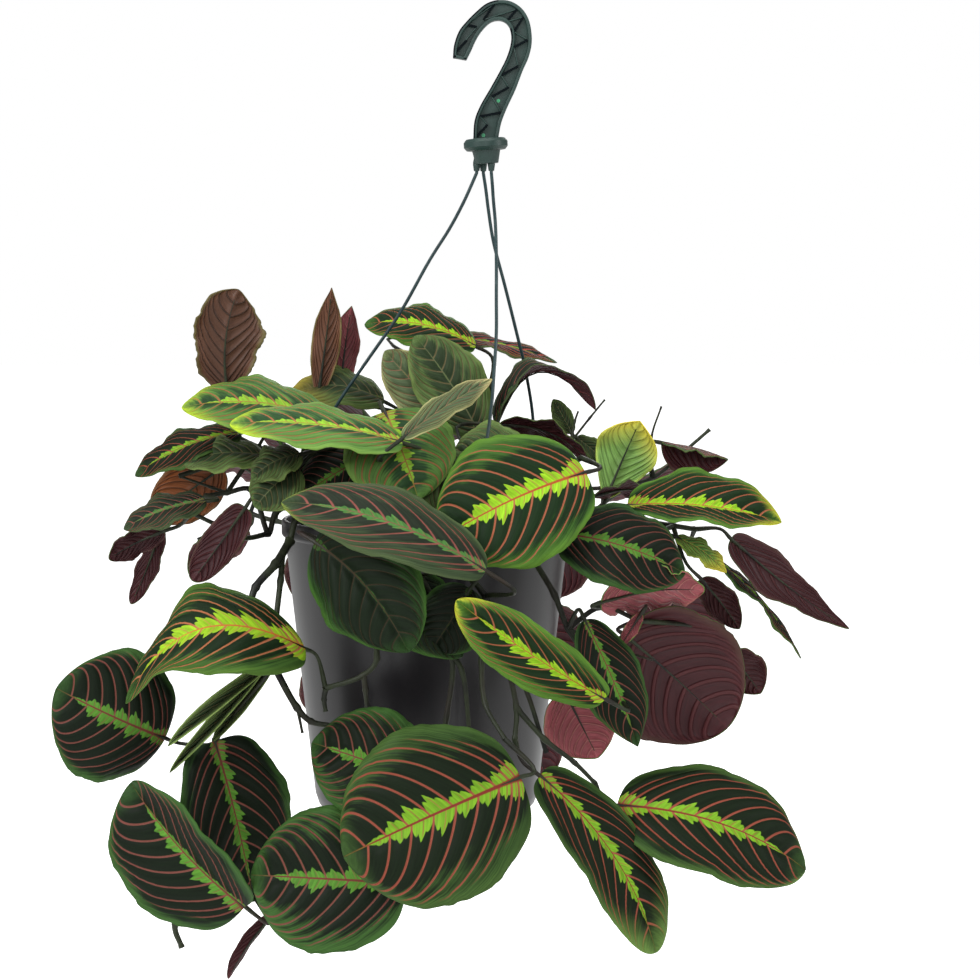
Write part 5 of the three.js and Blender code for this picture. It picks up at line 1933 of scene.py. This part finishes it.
        Leaf((0, 4), (-58, -253, -74), (-161, -242, -86), 50, (0, -0.42, 0.9), Look.LIGHT, bow=6,
            blunt=0.42, age=0.29),
        Leaf((0, 4), (-68, -235, -50), (-48, -287, -84), 66, (0, -0.78, 0.62), Look.LIGHT, bow=6,
            blunt=0.45, tone=0.75),
        Leaf((0, 3), (-101, -240, -42), (-190, -232, -54), 62, (0, -0.46, 0.88), Look.LIGHT, bow=8,
            age=0.31, ragged=0.16),
        Leaf((0, 3), (-94, -252, -34), (-116, -278, -44), 30, (-0.1, -0.8, 0.6), Look.DEEP, bow=3),
        Leaf((0, 3), (-119, -260, -60), (-148, -275, -66), 30, (-0.1, -0.6, 0.8), Look.SHADE, bow=4),
        Leaf((0, 3), (-121, -268, -60), (-146, -292, -66), 36, (-0.1, -0.8, 0.6), Look.SHADE, bow=3),
        Leaf((0, 4), (-57, -250, -86), (-4, -215, -66), 17, (-0.3, -0.85, 0.4), Look.PALE, bow=3, fold=20,
            age=0.34),
        Leaf((0, 3), (-78, -262, -52), (-118, -286, -58), 42, (0, -0.8, 0.6), Look.DEEP, bow=4, tone=0.8),
        Leaf((0, 3), (-44, -264, -58), (-16, -291, -68), 44, (0.1, -0.8, 0.6), Look.SHADE, bow=4,
            tone=0.75),
    )),
    Shoot("shoot_bright", (310, 44), None, (
        Stem(None, ((22, -296, -44), (42, -268, -60), (50, -262, -76))),
    ), (
        Leaf((0, 5), (52, -271, -102), (-36, -312, -116), 79, (0, -0.9, 0.45), Look.FRESH, bow=10, belly=1,
            blunt=0.45),
        Leaf((0, 3), (19, -262, -38), (-28, -262, -42), 44, (0, -0.8, 0.6), Look.SHADE, bow=5, tone=1.25),
        Leaf((0, 4), (58, -285, -34), (98, -284, -32), 24, (0, 0.4, 0.9), Look.MAROON, bow=4),
        Leaf((0, 3), (1, -242, -6), (55, -265, -12), 32, (0, 0.42, 0.9), Look.MAROON, bow=8),
    )),
    Shoot("shoot_back_right", (32, 56), 30, (
        Stem(None, ((56, -306, 66), (78, -330, 80), (84, -358, 84))),
    ), (
        Leaf((0, 5), (68, -286, 82), (126, -278, 108), 44, (0.1, 0.5, 0.86), Look.DULL, bow=8),
        Leaf((0, 7), (92, -338, 92), (130, -382, 110), 52, (0.3, 0.93, 0.2), bow=8),
        Leaf((0, 8), (82, -368, 92), (92, -424, 104), 46, (0, 0.96, 0.2), bow=8),
        Leaf((0, 6), (48, -304, 91), (22, -350, 112), 52, (-0.1, 0.92, 0.35), Look.DULL, bow=8),
        Leaf((0, 4), (44, -268, 62), (78, -252, 88), 36, (0, 0.5, 0.86), bow=6),
    )),
    Shoot("shoot_back", (72, 56), 72, (
        Stem(None, ((-12, -338, 102), (-8, -378, 104), (-4, -415, 106), (0, -440, 102))),
    ), (
        Leaf((0, 5), (-22, -304, 116), (-60, -350, 138), 58, (-0.1, 0.9, 0.4), Look.DULL, bow=8),
        Leaf((0, 6), (8, -352, 120), (46, -392, 136), 54, (0.2, 0.9, 0.35), bow=8),
        Leaf((0, 7), (-16, -372, 120), (-58, -418, 136), 60, (-0.1, 0.93, 0.3), bow=10),
        Leaf((0, 8), (6, -412, 118), (30, -456, 128), 46, (0.2, 0.93, 0.25), Look.DULL, bow=6),
        Leaf((0, 9), (-8, -446, 112), (-46, -480, 122), 50, (-0.1, 0.95, 0.2), bow=6),
    )),
    Shoot("shoot_back_left", (112, 56), 112, (
        Stem(None, ((-84, -340, 98), (-88, -378, 98), (-86, -405, 100))),
    ), (
        Leaf((0, 5), (-92, -308, 112), (-116, -354, 130), 52, (-0.25, 0.9, 0.35), Look.DULL, bow=8),
        Leaf((0, 6), (-78, -346, 114), (-58, -394, 146), 50, (0.1, 0.9, 0.4), bow=8),
        Leaf((0, 8), (-82, -412, 108), (-86, -458, 116), 48, (-0.1, 0.95, 0.2), bow=6),
        Leaf((0, 7), (-98, -384, 108), (-108, -420, 124), 36, (-0.3, 0.92, 0.2), Look.DULL, bow=5),
    )),
    Shoot("shoot_back_far_left", (148, 56), 150, (
        Stem(None, ((-134, -300, 56), (-148, -296, 66))),
    ), (
        Leaf((0, 6), (-140, -276, 64), (-196, -264, 84), 44, (-0.1, 0.5, 0.86), Look.DULL, bow=8),
        Leaf((0, 4), (-122, -268, 74), (-152, -242, 104), 46, (0, 0.6, 0.8), bow=6),
        Leaf((0, 7), (-152, -304, 74), (-186, -332, 84), 28, (-0.4, 0.85, 0.2), bow=4),
    )),
    Shoot("shoot_back_up", (100, 32), None, (
        Stem(None, ((-54, -292, 44), (-56, -268, 60))),
    ), (
        Leaf((0, 4), (-66, -255, 70), (-104, -234, 98), 48, (0, 0.5, 0.86), Look.DULL, bow=8),
        Leaf((0, 4), (-46, -262, 76), (-8, -246, 106), 46, (0, 0.5, 0.86), bow=8),
        Leaf((0, 4), (-58, -272, 86), (-64, -266, 134), 52, (0, 0.35, 0.94), bow=8),
        Leaf((0, 3), (-30, -282, 72), (12, -284, 108), 46, (0.1, 0.4, 0.9), Look.DULL, bow=8),
    )),
)


@dataclass
class ShootMaker:
    """Makes each shoot's stems and leaves as one piece."""

    pot: Pot
    mix: PottingMix
    stem_radius: float = 2.1
    side_radius: float = 1.7
    stem_loss: float = 0.3
    joint_swell: float = 1.3
    root_depth: float = 20
    above_root: tuple[float, float] = (-2, 7)
    over_lip: tuple[tuple[float, float], ...] = ((-6, 8), (4, 4), (8, -8))
    tone_range: tuple[float, float] = (0.9, 1.1)
    patterns: int = 50
    steps: int = 6
    seed: int = 11

    def __post_init__(self) -> None:
        """Builds the finishes, which all the shoots share."""
        self.stem_finish = StemFinish().build()
        self.leaf_finishes = {look: (look.value.upper(), look.value.lower()) for look in Look}
        self.draw = random.Random(self.seed)

    def rise(self, shoot: Shoot) -> list[Vector]:
        """The places that a shoot's main stem passes before those of its own list.

        Args:
            shoot: The shoot.

        Returns:
            The places, from its root in the potting mix and, if it hangs, over the lip.
        """
        pot, top = self.pot, self.mix.top
        angle, radius = shoot.root
        start = [pot.around(angle, radius, top + rise) for rise in (-self.root_depth, *self.above_root)]
        if shoot.over is None:
            return start
        over = [(pot.lip_radius + out, pot.lip_top + rise) for out, rise in self.over_lip]
        return start + [pot.around(shoot.over, reach, height) for reach, height in over]

    def stem(self, places: Sequence[Vector], radius: float) -> Piece:
        """One stem, which thins out and swells at its joints.

        Args:
            places: Its joints.
            radius: Its radius at its start.

        Returns:
            The piece.
        """
        points = smooth_curve(places, self.steps)
        radii = []
        for spot, _ in enumerate(points):
            share, joint = spot / (len(points) - 1), spot % self.steps == 0
            radii.append(radius * (1 - self.stem_loss * share) * (self.joint_swell if joint else 1))
        return tube(points, radii, 2)

    def build(self, shoot: Shoot) -> Piece:
        """Makes one finished shoot.

        Args:
            shoot: The shoot.

        Returns:
            The piece.
        """
        stems, pieces = [], []
        for stem in shoot.stems:
            start = [stems[stem.start[0]][stem.start[1]]] if stem.start else self.rise(shoot)
            stems.append(start + [PictureView.seen(place) for place in stem.places])
            usual = self.side_radius if stem.start else self.stem_radius
            pieces.append(self.stem(stems[-1], stem.radius or usual))
        for leaf in shoot.leaves:
            blade = Blade(replace(leaf, tone=leaf.tone * self.draw.uniform(*self.tone_range)))
            pieces.append(blade.stalk(stems[leaf.at[0]][leaf.at[1]]))
            pieces.append(blade.sheet(self.draw.randrange(self.patterns), self.leaf_finishes[leaf.look]))
        for piece in pieces:
            if not piece.data.materials:
                piece.data.materials.append(self.stem_finish)
        whole = joined(pieces)
        name = shoot.name.replace("shoot_", "leafy_stem_")
        return dressed(whole, name, [shoot.name])


# Studio


@dataclass(frozen=True)
class SoftLight:
    """A square soft light: where it is, what it looks at, its width and its strength."""

    name: str
    place: Place
    aim: Place
    width: float
    watts: float


@dataclass
class Studio:
    """A plain pale floor, plain soft light, and the camera at the picture's angle.

    Lengths are in metres, but the width of the camera's sensor is in millimetres.
    """

    floor_height: float = -0.78
    floor_width: float = 30
    sensor: float = 36
    surround: float = 0.34
    floor_glow: float = 0.18
    lights: tuple[SoftLight, ...] = (
        SoftLight("left light", (-1.3, -1.1, 0.7), (-0.05, 0, -0.3), 0.9, 22),
        SoftLight("right light", (1.5, -0.5, 0.3), (-0.05, 0, -0.3), 0.6, 7),
        SoftLight("top light", (0, -0.1, 1.3), (0, 0, -0.3), 1.2, 12),
        SoftLight("front light", (0.1, -2.2, 0.5), (-0.05, 0, -0.35), 1.2, 10),
        SoftLight("back light", (0.2, 1.9, 0.5), (0, 0, -0.3), 1.2, 9),
    )

    def white_to_the_eye(self, graph: Graph, strength: float) -> Value:
        """A full strength where it is looked at, and a lower one in the light that it gives."""
        return graph.math("MAXIMUM", graph.value("ShaderNodeLightPath", {}, "Is Camera Ray"), strength)

    def floor(self) -> None:
        """Lays the floor."""
        deselect()
        bpy.ops.mesh.primitive_plane_add(size=self.floor_width, location=(0, 0, self.floor_height))
        floor = bpy.context.object
        fixed_in_place(floor)
        floor.name = "floor"
        finish, graph, shader = new_finish(
            "pale floor", Roughness=0.9, Specular_IOR_Level=0.1, Emission_Color=(1, 1, 1, 1)
        )
        mottle = graph.grain(graph.object_place(), 3.0, 3.0)
        tint = graph.mix(mottle, colour(246, 246, 245), colour(252, 252, 251))
        glow = self.white_to_the_eye(graph, self.floor_glow)
        graph.feed(shader, {"Base Color": tint, "Emission Strength": glow})
        floor.data.materials.append(finish)

    def surroundings(self) -> None:
        """Makes the air round the plant white to look at, and a soft even light."""
        world = bpy.data.worlds.new("white surroundings")
        world.use_nodes = True
        bpy.context.scene.world = world
        graph = Graph(world.node_tree)
        strength = self.white_to_the_eye(graph, self.surround)
        backdrop = world.node_tree.nodes["Background"]
        graph.feed(backdrop, {"Color": (1, 1, 1, 1), "Strength": strength})

    def stood(self, name: str, data: bpy.types.ID, place: Vector, turn: Euler) -> Piece:
        """Stands a light or a camera in the scene.

        Args:
            name: Its name.
            data: The light or the camera.
            place: Where it stands, in metres.
            turn: Its turn from looking straight down.

        Returns:
            The object.
        """
        holder = bpy.data.objects.new(name, data)
        holder.location = place
        holder.rotation_euler = turn
        bpy.context.scene.collection.objects.link(holder)
        return holder

    def build(self) -> None:
        """Sets up the floor, the light and the camera."""
        self.floor()
        self.surroundings()
        for light in self.lights:
            lamp = bpy.data.lights.new(light.name, "AREA")
            lamp.size = light.width
            lamp.energy = light.watts
            look = Vector(light.aim) - Vector(light.place)
            self.stood(light.name, lamp, Vector(light.place), look.to_track_quat("-Z", "Y").to_euler())
        camera = bpy.data.cameras.new("camera")
        camera.sensor_width = self.sensor
        camera.lens = self.sensor * -PictureView.EYE.y / PictureView.FIELD
        camera.shift_y = -PictureView.HORIZON
        turn = Euler((math.radians(90 - PictureView.TILT), 0, 0))
        bpy.context.scene.camera = self.stood("camera", camera, PictureView.EYE * MM, turn)
        bpy.context.scene.view_settings.view_transform = "Standard"


def main() -> None:
    """Loads the frame and builds every piece in order."""
    logging.basicConfig(level=logging.INFO, format="%(name)s: %(message)s")
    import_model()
    Studio().build()
    LeafPattern().build()
    MouldedPattern().build()
    pot, hook = Pot(), Hook()
    mix = PottingMix(pot)
    pot.build([route.angle for route in STRANDS])
    mix.build()
    strand = Strand(pot, hook)
    hook.build([strand.exit_of(route) for route in STRANDS])
    strand_finish = STRAND_FINISH.build()
    for route in STRANDS:
        strand.build(route, strand_finish)
    maker = ShootMaker(pot, mix)
    for shoot in SHOOTS:
        maker.build(shoot)
    Blade.remove_models()


if __name__ == "__main__":
    main()
